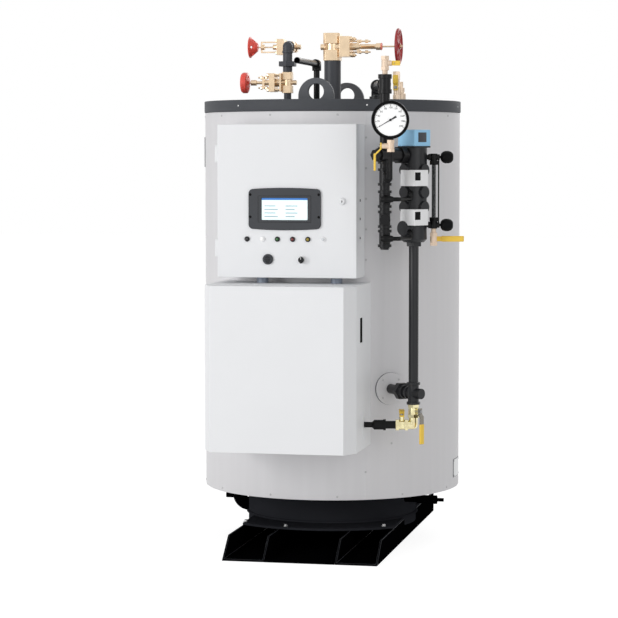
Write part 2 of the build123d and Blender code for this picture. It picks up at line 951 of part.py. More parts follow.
# Row of pilot lamps
with BuildPart() as pilot_lamps:
    for place in range(lamp_count):
        lamp = facing((lamp_first_x + place * lamp_pitch, panel_front, lamp_row_z), 0)
        turned(
            lamp,
            [
                (0, lamp_radius),
                (lamp_proud * 0.3, lamp_radius),
                (lamp_proud * 0.3, lamp_radius * 0.75),
                (lamp_proud * 0.8, lamp_radius * 0.7),
                (lamp_proud, lamp_radius * 0.4),
            ],
        )
pilot_lamps.part.label = "pilot_lamps"
export_step(pilot_lamps.part, "parts/pilot_lamps.step")

# Alarm horn
with BuildPart() as alarm_horn:
    horn = facing((horn_x, panel_front, horn_z), 0)
    turned(
        horn,
        [
            (0, horn_radius),
            (horn_proud * 0.6, horn_radius),
            (horn_proud, horn_radius * 0.85),
            (horn_proud, horn_radius * 0.6),
            (horn_proud * 0.7, horn_radius * 0.5),
        ],
    )
alarm_horn.part.label = "alarm_horn"
export_step(alarm_horn.part, "parts/alarm_horn.step")

# Collar of the selector switch, and its knob on a short spindle
selector = facing((knob_x, panel_front, knob_z), 0)
knob_back = knob_collar_proud + pin_play
spindle_end = knob_proud - knob_cap
with BuildPart() as selector_collar:
    rod(selector, knob_collar_radius, 0, knob_collar_proud)
    rod(selector, knob_spindle_radius, 0, spindle_end)
selector_collar.part.label = "selector_collar"
export_step(selector_collar.part, "parts/selector_collar.step")

with BuildPart() as selector_knob:
    rod(selector, knob_radius, knob_back, knob_proud)
    grip_length = 2 * (knob_radius + grip_overhang)
    bar(selector, grip_width, grip_length, knob_back + grip_step, knob_proud + grip_step)
    rod(selector, knob_spindle_radius + pin_play, 0, spindle_end + pin_play, mode=Mode.SUBTRACT)
selector_knob.part.label = "selector_knob"
export_step(selector_knob.part, "parts/selector_knob.step")

# Key latch of the door
with BuildPart() as door_latch:
    latch = facing((latch_x, panel_front, latch_z), 0)
    turned(
        latch,
        [
            (0, latch_radius),
            (latch_proud * 0.4, latch_radius),
            (latch_proud * 0.6, latch_radius * 0.75),
            (latch_proud, latch_radius * 0.7),
        ],
    )
door_latch.part.label = "door_latch"
export_step(door_latch.part, "parts/door_latch.step")


def cover_section(inset):
    """Outline of the burner cover seen from above, drawn in by the sheet's thickness."""
    left = cover_left + inset
    right = cover_right - inset
    front = cover_front + inset
    shoulder = cover_front + cover_chamfer_y + inset * 0.5
    with BuildSketch(Plane.XY.offset(cover_bottom + inset)) as outline:
        with BuildLine():
            Polyline(
                (left, 0),
                (left, shoulder),
                (left + cover_chamfer_x, front),
                (right - cover_chamfer_x, front),
                (right, shoulder),
                (right, 0),
                close=True,
            )
        make_face()
    return outline.sketch


# Ways the trim faces, seen from the water column
left_way = trim_turn - 45
right_way = trim_turn + 45
glass_way = trim_turn + 90

# Burner cover: a sheet hood with slanted front corners, closed at the back by the shell
branch_z = leg_height - leg_fitting - drain_valve_length - branch_drop
column_foot = heading(column_angle) * column_reach
branch_wall = Vector(cover_right, branch_end_y, branch_z)
branch_start = at_height(column_foot, branch_z)
branch_way = (branch_wall - branch_start).normalized()
branch_plane = Plane(origin=branch_start, x_dir=branch_way.cross(Vector(0, 0, 1)), z_dir=branch_way)
branch_span = (branch_wall - branch_start).length
with BuildPart() as burner_cover:
    extrude(cover_section(0.0), amount=cover_height)
    extrude(
        cover_section(cover_sheet),
        amount=cover_height - 2 * cover_sheet,
        mode=Mode.SUBTRACT,
    )
    shell_cut((cover_bottom + cover_top) / 2, cover_height)
    with Locations((cover_right, grip_slot_front, grip_slot_bottom)):
        Box(
            4 * cover_sheet,
            grip_slot_length,
            grip_slot_height,
            align=(Align.CENTER, Align.MIN, Align.MIN),
            mode=Mode.SUBTRACT,
        )
    rod(
        branch_plane,
        branch_hole_radius,
        branch_span - 3 * cover_sheet,
        branch_span + 4 * cover_sheet,
        mode=Mode.SUBTRACT,
    )
burner_cover.part.label = "burner_cover"
export_step(burner_cover.part, "parts/burner_cover.step")

# Two conduit nipples between the panel and the burner cover
with BuildPart() as panel_conduits:
    for conduit_x in (conduit_left_x, conduit_right_x):
        rod(upright((conduit_x, conduit_y, 0)), conduit_radius, cover_top, panel_bottom)
panel_conduits.part.label = "panel_conduits"
export_step(panel_conduits.part, "parts/panel_conduits.step")

# Water column leg: wall flange, union, cross and upright pipe
leg_plane = facing(at_height(Vector(0, 0, 0), leg_height), column_angle)
leg_centre = at_height(column_foot, leg_height)
column_axis = upright(column_foot, trim_turn)
wall_start = jacket_radius - jacket_wall / 2
with BuildPart() as wall_flange:
    rod(leg_plane, wall_flange_radius, wall_start, jacket_radius + wall_flange_thickness)
    shell_cut(leg_height, 2 * wall_flange_radius)
    rod(leg_plane, leg_pipe_radius, wall_start, column_reach, mode=Mode.SUBTRACT)
wall_flange.part.label = "wall_flange"
export_step(wall_flange.part, "parts/wall_flange.step")

with BuildPart() as column_leg:
    rod(leg_plane, leg_pipe_radius, wall_start, column_reach)
    shell_cut(leg_height, 2 * wall_flange_radius)
    nut(leg_plane, union_flats, union_start, union_start + union_nut)
    rod(leg_plane, leg_collar_radius, union_start + union_nut, union_start + union_length)
    tee(
        upright(leg_centre, trim_turn),
        leg_fitting,
        leg_pipe_radius + leg_socket,
        leg_collar_radius,
        leg_collar,
    )
    shell_arm = facing(leg_centre, column_angle + 180)
    rod(shell_arm, leg_pipe_radius + leg_socket, 0, leg_branch)
    rod(shell_arm, leg_collar_radius, leg_branch - leg_collar, leg_branch)
    rod(facing(leg_centre, right_way), leg_plug_radius, 0, leg_plug)
    rod(column_axis, leg_pipe_radius, leg_height, column_bottom - leg_bushing)
    nut(column_axis, leg_bushing_radius * 2, column_bottom - leg_bushing, column_bottom)
column_leg.part.label = "column_leg"
export_step(column_leg.part, "parts/column_leg.step")

# Water column body with its bosses
with BuildPart() as water_column:
    turned(
        column_axis,
        [
            (column_bottom, column_radius * 0.8),
            (column_bottom + column_foot_taper, column_radius),
            (column_top, column_radius),
        ],
    )
    cap = upright(column_foot, right_way)
    bar(cap, control_box_side, control_box_side, column_top, column_top + column_cap)
    column_bosses()
water_column.part.label = "water_column"
export_step(water_column.part, "parts/water_column.step")

# Level control head on the column
with BuildPart() as level_control:
    box_base = column_top + column_cap
    square = upright(column_foot, right_way)
    bar(square, control_box_side, control_box_side, box_base, box_base + control_box_height)
    fillet(level_control.edges().filter_by(Axis.Z), control_box_corner)
level_control.part.label = "level_control"
export_step(level_control.part, "parts/level_control.step")

# Two probe boxes that stand in the front corner of the column
with BuildPart() as probe_boxes:
    for rise in probe_box_rises:
        corner = upright(at_height(column_foot, column_bottom + rise), right_way)
        with Locations(corner.location * Location((-probe_box_back, -probe_box_face, 0))):
            Box(
                probe_box_face + probe_box_back,
                probe_box_face + probe_box_back,
                probe_box_height,
                align=(Align.MIN, Align.MIN, Align.MIN),
            )
    column_cut()
probe_boxes.part.label = "probe_boxes"
export_step(probe_boxes.part, "parts/probe_boxes.step")

# Steam tree: stacked tees, the union to the column, and the arm of the line to the boiler's top
tree_foot = column_foot + heading(left_way) * tree_reach
tree_axis = upright(tree_foot, trim_turn)
tree_head = at_height(tree_foot, tree_top_tee)
line_foot = heading(steam_line_heading) * (jacket_radius - steam_line_inset)
line_end = at_height(line_foot, tree_top_tee)
line_way = (line_end - tree_head).normalized()
line_plane = Plane(origin=tree_head, x_dir=line_way.cross(Vector(0, 0, 1)), z_dir=line_way)
line_span = (line_end - tree_head).length
with BuildPart() as steam_tree:
    rod(tree_axis, leg_pipe_radius, tree_bottom + tree_end / 2, tree_top_tee)
    nut(tree_axis, tree_end_flats, tree_bottom, tree_bottom + tree_end)
    for height in tree_tee_heights + [tree_union_height]:
        tee(
            upright(at_height(tree_foot, height), trim_turn),
            tree_tee_half,
            leg_pipe_radius + leg_socket,
            leg_collar_radius,
            leg_collar,
        )
    run = facing(at_height(column_foot, tree_union_height), left_way)
    union_low = column_radius + tree_union_start
    rod(run, leg_pipe_radius, column_radius / 2, tree_reach)
    rod(run, leg_collar_radius, tree_reach - leg_branch, tree_reach + leg_branch)
    nut(run, tree_plug_flats, tree_reach + leg_branch, tree_reach + tree_plug_reach)
    nut(run, union_flats, union_low, union_low + tree_union_nut)
    rod(run, leg_collar_radius, union_low + tree_union_nut, tree_reach - leg_branch)
    column_cut()
    front_plug = facing(at_height(tree_foot, column_bottom + tree_plug_rise), trim_turn)
    rod(front_plug, front_plug_radius, 0, front_plug_reach)
    tee(
        upright(tree_head, trim_turn),
        tree_top_half,
        leg_pipe_radius + tree_top_socket,
        leg_collar_radius,
        tree_top_collar,
    )
    rod(line_plane, leg_pipe_radius + tree_top_socket, 0, leg_branch)
    rod(line_plane, leg_collar_radius, leg_branch - leg_collar, leg_branch)
steam_tree.part.label = "steam_tree"
export_step(steam_tree.part, "parts/steam_tree.step")

# Steam line from the tree back over the band into the top plate, with a collar on each side of its bend
with BuildPart() as steam_line:
    line_start = tree_head + line_way * leg_branch
    bent_pipe([line_start, line_end, at_height(line_end, head_top)], steam_line_bend, leg_pipe_radius)
    elbow_start = line_span - steam_line_collar_drop
    elbow_end = tree_top_tee - steam_line_collar_drop
    rod(line_plane, leg_collar_radius, elbow_start - steam_line_collar, elbow_start)
    rod(upright(line_foot), leg_collar_radius, elbow_end - steam_line_collar, elbow_end)
steam_line.part.label = "steam_line"
export_step(steam_line.part, "parts/steam_line.step")

# Small tubes from the front of the tree round to the column, each with a nut at the tree
tube_way = heading(glass_way)
tube_turn = heading(trim_turn)
with BuildPart() as tree_tubes:
    for rise in tube_rises:
        height = column_bottom + rise
        tube_line = facing(at_height(tree_foot, height) + tube_turn * tube_front, glass_way)
        tube_nut_end = tube_nut_start + tube_nut_length
        turned(
            tube_line,
            [
                (tube_nut_start, tube_nut_nose),
                (tube_nut_start + tube_nut_length * 0.3, tube_nut_radius),
                (tube_nut_start + tube_nut_length * 0.6, tube_nut_radius),
                (tube_nut_end, tube_nut_nose),
            ],
        )
        landing = at_height(column_foot, height) - tube_way * tube_left
        foot = landing + tube_turn * (column_radius + tube_stand)
        entry = landing + tube_turn * (column_radius - tube_stand)
        bent_pipe(
            [
                tube_line.origin,
                tube_line.origin + tube_way * tube_straight,
                foot,
                at_height(foot, height + tube_rise),
                at_height(entry, height + tube_rise),
            ],
            tube_bend,
            tube_radius,
        )
        rod(
            tree_axis,
            leg_pipe_radius + leg_socket,
            height - tree_tee_half,
            height + tree_tee_half,
            mode=Mode.SUBTRACT,
        )
    column_cut()
tree_tubes.part.label = "tree_tubes"
export_step(tree_tubes.part, "parts/tree_tubes.step")

# Pressure gauge, its valve and its siphon
gauge_foot = tree_foot + tube_turn * gauge_reach + tube_way * gauge_right
gauge_axis = upright(gauge_foot, trim_turn)
with BuildPart() as gauge_siphon:
    back_leg = gauge_foot - tube_way * (2 * siphon_bend)
    bent_pipe(
        [
            at_height(gauge_foot, siphon_top),
            at_height(gauge_foot, siphon_bottom),
            at_height(back_leg, siphon_bottom),
            at_height(back_leg, siphon_entry),
            at_height(tree_foot, siphon_entry),
        ],
        siphon_corner,
        siphon_radius,
    )
    tree_radius = leg_pipe_radius + leg_socket
    rod(tree_axis, tree_radius, siphon_bottom, siphon_entry + tree_tee_half, mode=Mode.SUBTRACT)
gauge_siphon.part.label = "gauge_siphon"
export_step(gauge_siphon.part, "parts/gauge_siphon.step")

gauge_valve_z = siphon_top + gauge_valve_length / 2
gauge_valve_flow = upright(at_height(gauge_foot, gauge_valve_z), trim_turn)
gauge_valve_side = glass_way + 180
gauge_valve_stem_plane = Plane(
    origin=at_height(gauge_foot, gauge_valve_z),
    x_dir=(0, 0, -1),
    z_dir=heading(gauge_valve_side),
)
with BuildPart() as gauge_valve:
    ball_valve(
        gauge_valve_flow,
        gauge_valve_stem_plane,
        gauge_valve_length,
        gauge_valve_flats,
        gauge_valve_stem,
    )
gauge_valve.part.label = "gauge_valve"
export_step(gauge_valve.part, "parts/gauge_valve.step")

with BuildPart() as gauge_valve_lever:
    lever(gauge_valve_stem_plane, gauge_valve_stem, gauge_lever_reach, gauge_lever_jog)
gauge_valve_lever.part.label = "gauge_valve_lever"
export_step(gauge_valve_lever.part, "parts/gauge_valve_lever.step")

with BuildPart() as pressure_gauge:
    face = facing(at_height(gauge_foot, gauge_height), gauge_turn)
    turned(
        face,
        [
            (-gauge_depth / 2, gauge_radius - gauge_rim),
            (gauge_depth / 2 - gauge_rim_depth * 3, gauge_radius - gauge_rim),
            (gauge_depth / 2 - gauge_rim_depth * 2, gauge_radius),
            (gauge_depth / 2, gauge_radius),
            (gauge_depth / 2, gauge_radius - gauge_rim),
            (gauge_depth / 2 - gauge_rim_depth, gauge_radius - gauge_rim),
        ],
    )
    valve_top = siphon_top + gauge_valve_length
    case_low = gauge_height - gauge_radius + gauge_rim
    nut(gauge_axis, gauge_neck_flats, valve_top, case_low + gauge_neck_sink)
pressure_gauge.part.label = "pressure_gauge"
export_step(pressure_gauge.part, "parts/pressure_gauge.step")

# Gauge glass with its two cocks and guard rod
glass_foot = column_foot + heading(glass_way) * glass_reach
glass_axis = upright(glass_foot, trim_turn)
with BuildPart() as gauge_glass:
    rod(glass_axis, glass_radius, glass_lower_z + cock_half, glass_upper_z - cock_half)
gauge_glass.part.label = "gauge_glass"
export_step(gauge_glass.part, "parts/gauge_glass.step")

knob_pin_end = knob_reach + knob_length / 2
with BuildPart() as gauge_cocks:
    for height, inward in ((glass_upper_z, -1), (glass_lower_z, 1)):
        arm = facing(at_height(column_foot, height), glass_way)
        arm_nut = column_radius + cock_arm_gap
        rod(arm, cock_nipple_radius, column_radius / 2, glass_reach)
        nut(arm, cock_arm_nut_flats, arm_nut, arm_nut + cock_arm_nut)
        rod(arm, cock_barrel_radius, glass_reach, guard_reach + cock_barrel_past)
        rod(arm, cock_spindle_radius, glass_reach, knob_pin_end)
        reach_in = height + inward * cock_half
        low, high = sorted((height - inward * cock_radius, reach_in))
        rod(glass_axis, cock_radius, low, high)
        nut_low, nut_high = sorted((reach_in, reach_in - inward * cock_nut))
        nut(glass_axis, cock_nut_flats, nut_low, nut_high)
    guard_axis = upright(column_foot + heading(glass_way) * guard_reach, trim_turn)
    rod(guard_axis, guard_radius, glass_lower_z, glass_upper_z)
    column_cut()
gauge_cocks.part.label = "gauge_cocks"
export_step(gauge_cocks.part, "parts/gauge_cocks.step")


def cock_knob(height):
    """Round grip on a gauge cock's spindle."""
    arm = facing(at_height(column_foot, height), glass_way)
    with BuildPart() as knob:
        turned(
            arm,
            [
                (knob_reach, knob_grip_radius * 0.5),
                (knob_reach + knob_length * 0.15, knob_grip_radius * 0.85),
                (knob_reach + knob_length * 0.35, knob_grip_radius),
                (knob_reach + knob_length * 0.65, knob_grip_radius),
                (knob_reach + knob_length * 0.85, knob_grip_radius * 0.85),
                (knob_reach + knob_length, knob_grip_radius * 0.5),
            ],
        )
        rod(
            arm,
            cock_spindle_radius + pin_play,
            knob_reach - pin_play,
            knob_pin_end + pin_play,
            mode=Mode.SUBTRACT,
        )
    return knob


cock_knob_upper = cock_knob(glass_upper_z)
cock_knob_upper.part.label = "cock_knob_upper"
export_step(cock_knob_upper.part, "parts/cock_knob_upper.step")

cock_knob_lower = cock_knob(glass_lower_z)
cock_knob_lower.part.label = "cock_knob_lower"
export_step(cock_knob_lower.part, "parts/cock_knob_lower.step")

# Drain valve under the gauge glass
glass_drain_top = glass_lower_z - cock_radius - glass_drain_nipple
glass_drain_z = glass_drain_top - glass_drain_length / 2
glass_drain_centre = at_height(glass_foot, glass_drain_z)
glass_drain_stem_plane = Plane(
    origin=glass_drain_centre,
    x_dir=heading(glass_way),
    z_dir=heading(trim_turn + 180),
)
with BuildPart() as glass_drain_valve:
    ball_valve(
        upright(glass_drain_centre, trim_turn),
        glass_drain_stem_plane,
        glass_drain_length,
        glass_drain_flats,
        glass_drain_stem,
    )
    rod(glass_axis, cock_nipple_radius, glass_drain_top, glass_lower_z - cock_radius)
glass_drain_valve.part.label = "glass_drain_valve"
export_step(glass_drain_valve.part, "parts/glass_drain_valve.step")

with BuildPart() as glass_drain_lever:
    lever(glass_drain_stem_plane, glass_drain_stem, glass_lever_reach, glass_lever_jog)
glass_drain_lever.part.label = "glass_drain_lever"
export_step(glass_drain_lever.part, "parts/glass_drain_lever.step")

# Drain valve under the column leg
drain_top = leg_height - leg_fitting
drain_z = drain_top - drain_valve_length / 2
drain_centre = at_height(column_foot, drain_z)
drain_stem_plane = Plane(origin=drain_centre, x_dir=(0, 0, -1), z_dir=heading(right_way))
with BuildPart() as column_drain_valve:
    ball_valve(
        upright(drain_centre, trim_turn),
        drain_stem_plane,
        drain_valve_length,
        drain_valve_flats,
        drain_valve_stem,
    )
column_drain_valve.part.label = "column_drain_valve"
export_step(column_drain_valve.part, "parts/column_drain_valve.step")

with BuildPart() as column_drain_lever:
    lever(drain_stem_plane, drain_valve_stem, drain_lever_reach, drain_lever_jog)
column_drain_lever.part.label = "column_drain_lever"
export_step(column_drain_lever.part, "parts/column_drain_lever.step")

# Side branch: elbow and ball valve, then a pipe into the burner cover
branch_valve_start = branch_elbow_half
branch_valve_end = branch_valve_start + branch_valve_length
branch_valve_centre = branch_start + branch_way * (branch_valve_start + branch_valve_length / 2)
branch_lever_way = Vector(0, 0, 1).cross(branch_way) * -1
branch_stem_plane = Plane(origin=branch_valve_centre, x_dir=branch_lever_way, z_dir=(0, 0, 1))
with BuildPart() as branch_valve:
    ball_valve(
        Plane(origin=branch_valve_centre, x_dir=branch_plane.x_dir, z_dir=branch_way),
        branch_stem_plane,
        branch_valve_length,
        branch_valve_flats,
        branch_valve_stem,
    )
    rod(upright(branch_start), branch_elbow_radius, 0, branch_drop)
    with Locations(branch_start):
        Sphere(branch_elbow_radius)
    rod(branch_plane, branch_elbow_radius, 0, branch_valve_start)
branch_valve.part.label = "branch_valve"
export_step(branch_valve.part, "parts/branch_valve.step")

with BuildPart() as branch_valve_lever:
    lever(branch_stem_plane, branch_valve_stem, branch_lever_reach, branch_lever_jog)
branch_valve_lever.part.label = "branch_valve_lever"
export_step(branch_valve_lever.part, "parts/branch_valve_lever.step")

with BuildPart() as branch_pipe:
    branch_union_end = branch_span - branch_tail
    branch_union_start = branch_union_end - branch_union_length
    turned(
        branch_plane,
        [
            (branch_valve_end, branch_pipe_radius),
            (branch_union_start, branch_pipe_radius),
            (branch_union_start, branch_union_radius),
            (branch_union_start + branch_union_nut, branch_union_radius),
            (branch_union_start + branch_union_nut, branch_union_body),
            (branch_union_end - branch_union_taper, branch_union_body),
            (branch_union_end, branch_tail_radius),
            (branch_span + branch_reach_in, branch_tail_radius),
        ],
    )
branch_pipe.part.label = "branch_pipe"
export_step(branch_pipe.part, "parts/branch_pipe.step")

# Steam outlet pipe and its gate valve, with the stem to the right
steam_axis = upright(Vector(0, 0, 0))
with BuildPart() as steam_pipe:
    rod(steam_axis, steam_pipe_radius, head_top, steam_valve_base)
steam_pipe.part.label = "steam_pipe"
export_step(steam_pipe.part, "parts/steam_pipe.step")

steam_half = steam_valve_height / 2
steam_valve_z = steam_valve_base + steam_half
steam_flow = Plane(origin=(0, 0, steam_valve_z), x_dir=(0, 1, 0), z_dir=(0, 0, 1))
steam_stem = Plane(origin=(0, 0, steam_valve_z), x_dir=(0, 1, 0), z_dir=(1, 0, 0))
steam_bonnet_end = steam_bonnet_start + steam_bonnet_length
with BuildPart() as steam_gate_valve:
    gate_body(
        steam_flow,
        steam_stem,
        steam_valve_height,
        steam_valve_end,
        steam_valve_side,
        steam_valve_corner,
        steam_valve_waist,
        steam_valve_nose,
        steam_nose_radius,
    )
    bonnet(
        steam_stem,
        steam_valve_waist * body_barrel,
        steam_bonnet_start,
        steam_bonnet_length,
        steam_bonnet_side,
    )
    packing_gland(
        steam_stem,
        steam_bonnet_end,
        steam_neck_radius,
        steam_gland_start,
        steam_gland_height,
        steam_sleeve_radius,
        (steam_collar_start, steam_collar_end, steam_collar_radius),
        steam_wheel_seat + wheel_hub,
        steam_stem_radius,
    )
    gland_studs(steam_stem, steam_stud_spread, steam_bonnet_end, steam_stud_end)
    rod(steam_flow, steam_thread_radius, steam_half - steam_thread, steam_half, mode=Mode.SUBTRACT)
steam_gate_valve.part.label = "steam_gate_valve"
export_step(steam_gate_valve.part, "parts/steam_gate_valve.step")

with BuildPart() as steam_wheel:
    handwheel(steam_stem, steam_wheel_seat, steam_wheel_radius, steam_stem_radius)
steam_wheel.part.label = "steam_wheel"
export_step(steam_wheel.part, "parts/steam_wheel.step")

# Feed water stack: pipe, union and elbow, with two gate valves that point left
feed_foot = Vector(feed_x, feed_y, 0)
feed_axis = upright(feed_foot)
feed_valve_low = feed_valve_z - feed_valve_height / 2
feed_valve_high = feed_valve_z + feed_valve_height / 2
feed_elbow = at_height(feed_foot, feed_elbow_z)
feed_outlet = facing(feed_elbow, 180)
feed_elbow_low = feed_elbow_z - feed_elbow_drop
supply_start = supply_valve_back - supply_valve_length / 2
with BuildPart() as feed_stack:
    rod(feed_axis, feed_pipe_radius, head_top, feed_valve_low)
    rod(feed_axis, feed_coupling_radius, feed_valve_high, feed_elbow_low)
    nut(feed_axis, feed_union_flats, feed_union_z - feed_union_half, feed_union_z + feed_union_half)
    rod(feed_axis, feed_bead_radius, feed_elbow_low, feed_elbow_low + feed_bead)
    rod(feed_axis, feed_elbow_radius, feed_elbow_low, feed_elbow_z)
    with Locations(feed_elbow):
        Sphere(feed_elbow_radius)
    rod(feed_outlet, feed_elbow_radius, 0, supply_start)
    rod(feed_outlet, feed_bead_radius, supply_start - feed_bead, supply_start)
feed_stack.part.label = "feed_stack"
export_step(feed_stack.part, "parts/feed_stack.step")

feed_flow = upright(at_height(feed_foot, feed_valve_z), 90)
feed_stem = Plane(origin=at_height(feed_foot, feed_valve_z), x_dir=(0, -1, 0), z_dir=(-1, 0, 0))
feed_bonnet_end = feed_bonnet_start + feed_bonnet_length
with BuildPart() as feed_gate_valve:
    gate_body(
        feed_flow,
        feed_stem,
        feed_valve_height,
        feed_valve_end,
        feed_valve_side,
        feed_valve_corner,
        feed_valve_waist,
        feed_valve_nose,
        feed_nose_radius,
    )
    bonnet(
        feed_stem,
        feed_valve_waist * body_barrel,
        feed_bonnet_start,
        feed_bonnet_length,
        feed_bonnet_side,
    )
    bar(feed_stem, feed_bonnet_side, feed_bonnet_side, feed_flange_start, feed_flange_start + feed_flange)
    packing_gland(
        feed_stem,
        feed_bonnet_end,
        feed_neck_radius,
        feed_gland_start,
        feed_gland_height,
        feed_sleeve_radius,
        (feed_collar_start, feed_collar_end, feed_collar_radius),
        feed_wheel_seat + wheel_hub,
        feed_stem_radius,
    )
    gland_studs(feed_stem, feed_stud_spread, feed_bonnet_end, feed_stud_end)
feed_gate_valve.part.label = "feed_gate_valve"
export_step(feed_gate_valve.part, "parts/feed_gate_valve.step")

with BuildPart() as feed_wheel:
    cup_wheel(feed_stem, feed_wheel_seat, feed_cup, feed_stem_radius, feed_window_reach)
feed_wheel.part.label = "feed_wheel"
export_step(feed_wheel.part, "parts/feed_wheel.step")

supply_centre = feed_elbow + Vector(0, supply_valve_back, 0)
supply_flow = facing(supply_centre, 180)
supply_stem = Plane(origin=supply_centre, x_dir=(0, -1, 0), z_dir=(-1, 0, 0))
supply_bonnet_end = supply_bonnet_start + supply_bonnet_length
with BuildPart() as supply_gate_valve:
    gate_body(
        supply_flow,
        supply_stem,
        supply_valve_length,
        supply_valve_end,
        supply_valve_side,
        supply_valve_corner,
        supply_valve_waist,
        supply_valve_nose,
        supply_nose_radius,
    )
    bonnet(
        supply_stem,
        supply_valve_waist * body_barrel,
        supply_bonnet_start,
        supply_bonnet_length,
        supply_bonnet_side,
    )
    turned(
        supply_stem.offset(supply_bonnet_end),
        [
            (0, supply_packing_radius),
            (supply_packing, supply_packing_nut_radius),
            (supply_packing_nut, supply_packing_nut_radius),
            (supply_packing_nut, supply_stem_radius),
            (supply_wheel_seat + wheel_hub - supply_bonnet_end, supply_stem_radius),
        ],
    )
    for side in (-supply_yoke_half, supply_yoke_half):
        arm = Plane(origin=supply_centre + Vector(0, 0, side), x_dir=(0, -1, 0), z_dir=(-1, 0, 0))
        bar(arm, supply_yoke_width, supply_yoke_arm, supply_bonnet_end, supply_yoke_end)
    yoke_bar = supply_yoke_end - supply_yoke_arm
    bar(supply_stem, supply_yoke_width, 2 * supply_yoke_half, yoke_bar, supply_yoke_end)
    rod(supply_stem, supply_yoke_boss_radius, supply_yoke_end - supply_yoke_boss, supply_yoke_end)
supply_gate_valve.part.label = "supply_gate_valve"
export_step(supply_gate_valve.part, "parts/supply_gate_valve.step")

with BuildPart() as supply_wheel:
    cup_wheel(supply_stem, supply_wheel_seat, supply_cup, supply_stem_radius, supply_window_reach)
supply_wheel.part.label = "supply_wheel"
export_step(supply_wheel.part, "parts/supply_wheel.step")

# Open vent pipe that turns to the front
with BuildPart() as vent_pipe:
    vent_foot = Vector(vent_x, vent_y, 0)
    vent_corner = at_height(vent_foot, vent_z)
    rod(upright(vent_foot), vent_pipe_radius, head_top, vent_z)
    vent_run = facing(vent_corner, 0)
    rod(vent_run, vent_pipe_radius, 0, vent_y - vent_end_y)
    with Locations(vent_corner):
        Sphere(vent_fitting_radius)
    rod(upright(vent_corner), vent_fitting_radius, -vent_fitting_half, 0)
    rod(vent_run, vent_fitting_radius, 0, vent_fitting_half)
    rod(vent_run, vent_bore_radius, vent_fitting_half, vent_y - vent_end_y, mode=Mode.SUBTRACT)
vent_pipe.part.label = "vent_pipe"
export_step(vent_pipe.part, "parts/vent_pipe.step")

# Vent valve on top of the steam tree, with a small handle
tree_top = tree_top_tee + tree_top_half
tree_vent_z = tree_top + vent_nipple + tree_vent_length / 2
tree_vent_centre = at_height(tree_foot, tree_vent_z)
tree_vent_stem_plane = Plane(origin=tree_vent_centre, x_dir=(0, 0, 1), z_dir=heading(glass_way))
with BuildPart() as tree_vent_valve:
    ball_valve(
        upright(tree_vent_centre, trim_turn),
        tree_vent_stem_plane,
        tree_vent_length,
        tree_vent_flats,
        tree_vent_stem,
    )
    rod(tree_axis, vent_nipple_radius, tree_top, tree_top + vent_nipple)
tree_vent_valve.part.label = "tree_vent_valve"
export_step(tree_vent_valve.part, "parts/tree_vent_valve.step")

with BuildPart() as tree_vent_handle:
    grip_start = tree_vent_stem + pin_play
    bar(
        tree_vent_stem_plane,
        tree_vent_grip_height,
        tree_vent_grip_width,
        grip_start,
        grip_start + tree_vent_grip,
    )
    rod(
        tree_vent_stem_plane,
        stem_radius + pin_play,
        grip_start,
        tree_vent_stem + stem_top + pin_play,
        mode=Mode.SUBTRACT,
    )
tree_vent_handle.part.label = "tree_vent_handle"
export_step(tree_vent_handle.part, "parts/tree_vent_handle.step")

# Safety valve, and the small bleed valve in front of it
with BuildPart() as safety_valve:
    turned(
        upright((relief_x, relief_y, head_top)),
        [
            (0, relief_radius * 0.7),
            (relief_height * 0.15, relief_radius * 0.7),
            (relief_height * 0.15, relief_radius),
            (relief_height * 0.5, relief_radius),
            (relief_height * 0.55, relief_radius * 0.75),
            (relief_height * 0.75, relief_radius * 0.75),
            (relief_height * 0.75, relief_radius * 0.45),
            (relief_height, relief_radius * 0.45),
        ],
    )
safety_valve.part.label = "safety_valve"
export_step(safety_valve.part, "parts/safety_valve.step")

bleed_centre = Vector(bleed_x, bleed_y, bleed_valve_z)
bleed_stem_plane = Plane(origin=bleed_centre, x_dir=(0, 0, 1), z_dir=(0, -1, 0))
with BuildPart() as bleed_valve:
    ball_valve(upright(bleed_centre), bleed_stem_plane, bleed_valve_length, bleed_valve_flats, bleed_stem)
    rod(upright((bleed_x, bleed_y, 0)), bleed_nipple_radius, head_top, bleed_valve_z)
bleed_valve.part.label = "bleed_valve"
export_step(bleed_valve.part, "parts/bleed_valve.step")

with BuildPart() as bleed_lever:
    lever(bleed_stem_plane, bleed_stem, bleed_lever_reach, bleed_lever_jog)
bleed_lever.part.label = "bleed_lever"
export_step(bleed_lever.part, "parts/bleed_lever.step")

# Under the shell: a drain stub at the right, and an elbow from the vessel into the skirt at the left
with BuildPart() as bottom_drains:
    right_drain = Plane(origin=(0, bottom_drain_y, bottom_drain_z), x_dir=(0, 1, 0), z_dir=(1, 0, 0))
    drain_start = sqrt(skirt_radius**2 - bottom_drain_y**2) - skirt_wall
    drain_coupling_end = bottom_drain_start + bottom_drain_length
    turned(
        right_drain,
        [
            (drain_start, bottom_drain_radius),
            (bottom_drain_start, bottom_drain_radius),
            (bottom_drain_start, bottom_drain_coupling),
            (drain_coupling_end, bottom_drain_coupling),
            (drain_coupling_end, bottom_drain_tip_radius),
            (drain_coupling_end + bottom_drain_tip, bottom_drain_tip_radius),
        ],
    )
    bent_pipe(
        [
            (downcomer_x, downcomer_y, jacket_bottom),
            (downcomer_x, downcomer_y, downcomer_z),
            (-skirt_radius + 2 * skirt_wall, downcomer_y, downcomer_z),
        ],
        downcomer_bend,
        downcomer_radius,
    )
    plug_z = jacket_bottom - downcomer_plug_drop
    plug = Plane(origin=(downcomer_x, downcomer_y, plug_z), x_dir=(0, 1, 0), z_dir=(-1, 0, 0))
    rod(plug, downcomer_plug_radius, 0, downcomer_plug)
    rod(Plane.XY, skirt_radius, 0, jacket_bottom, mode=Mode.SUBTRACT)
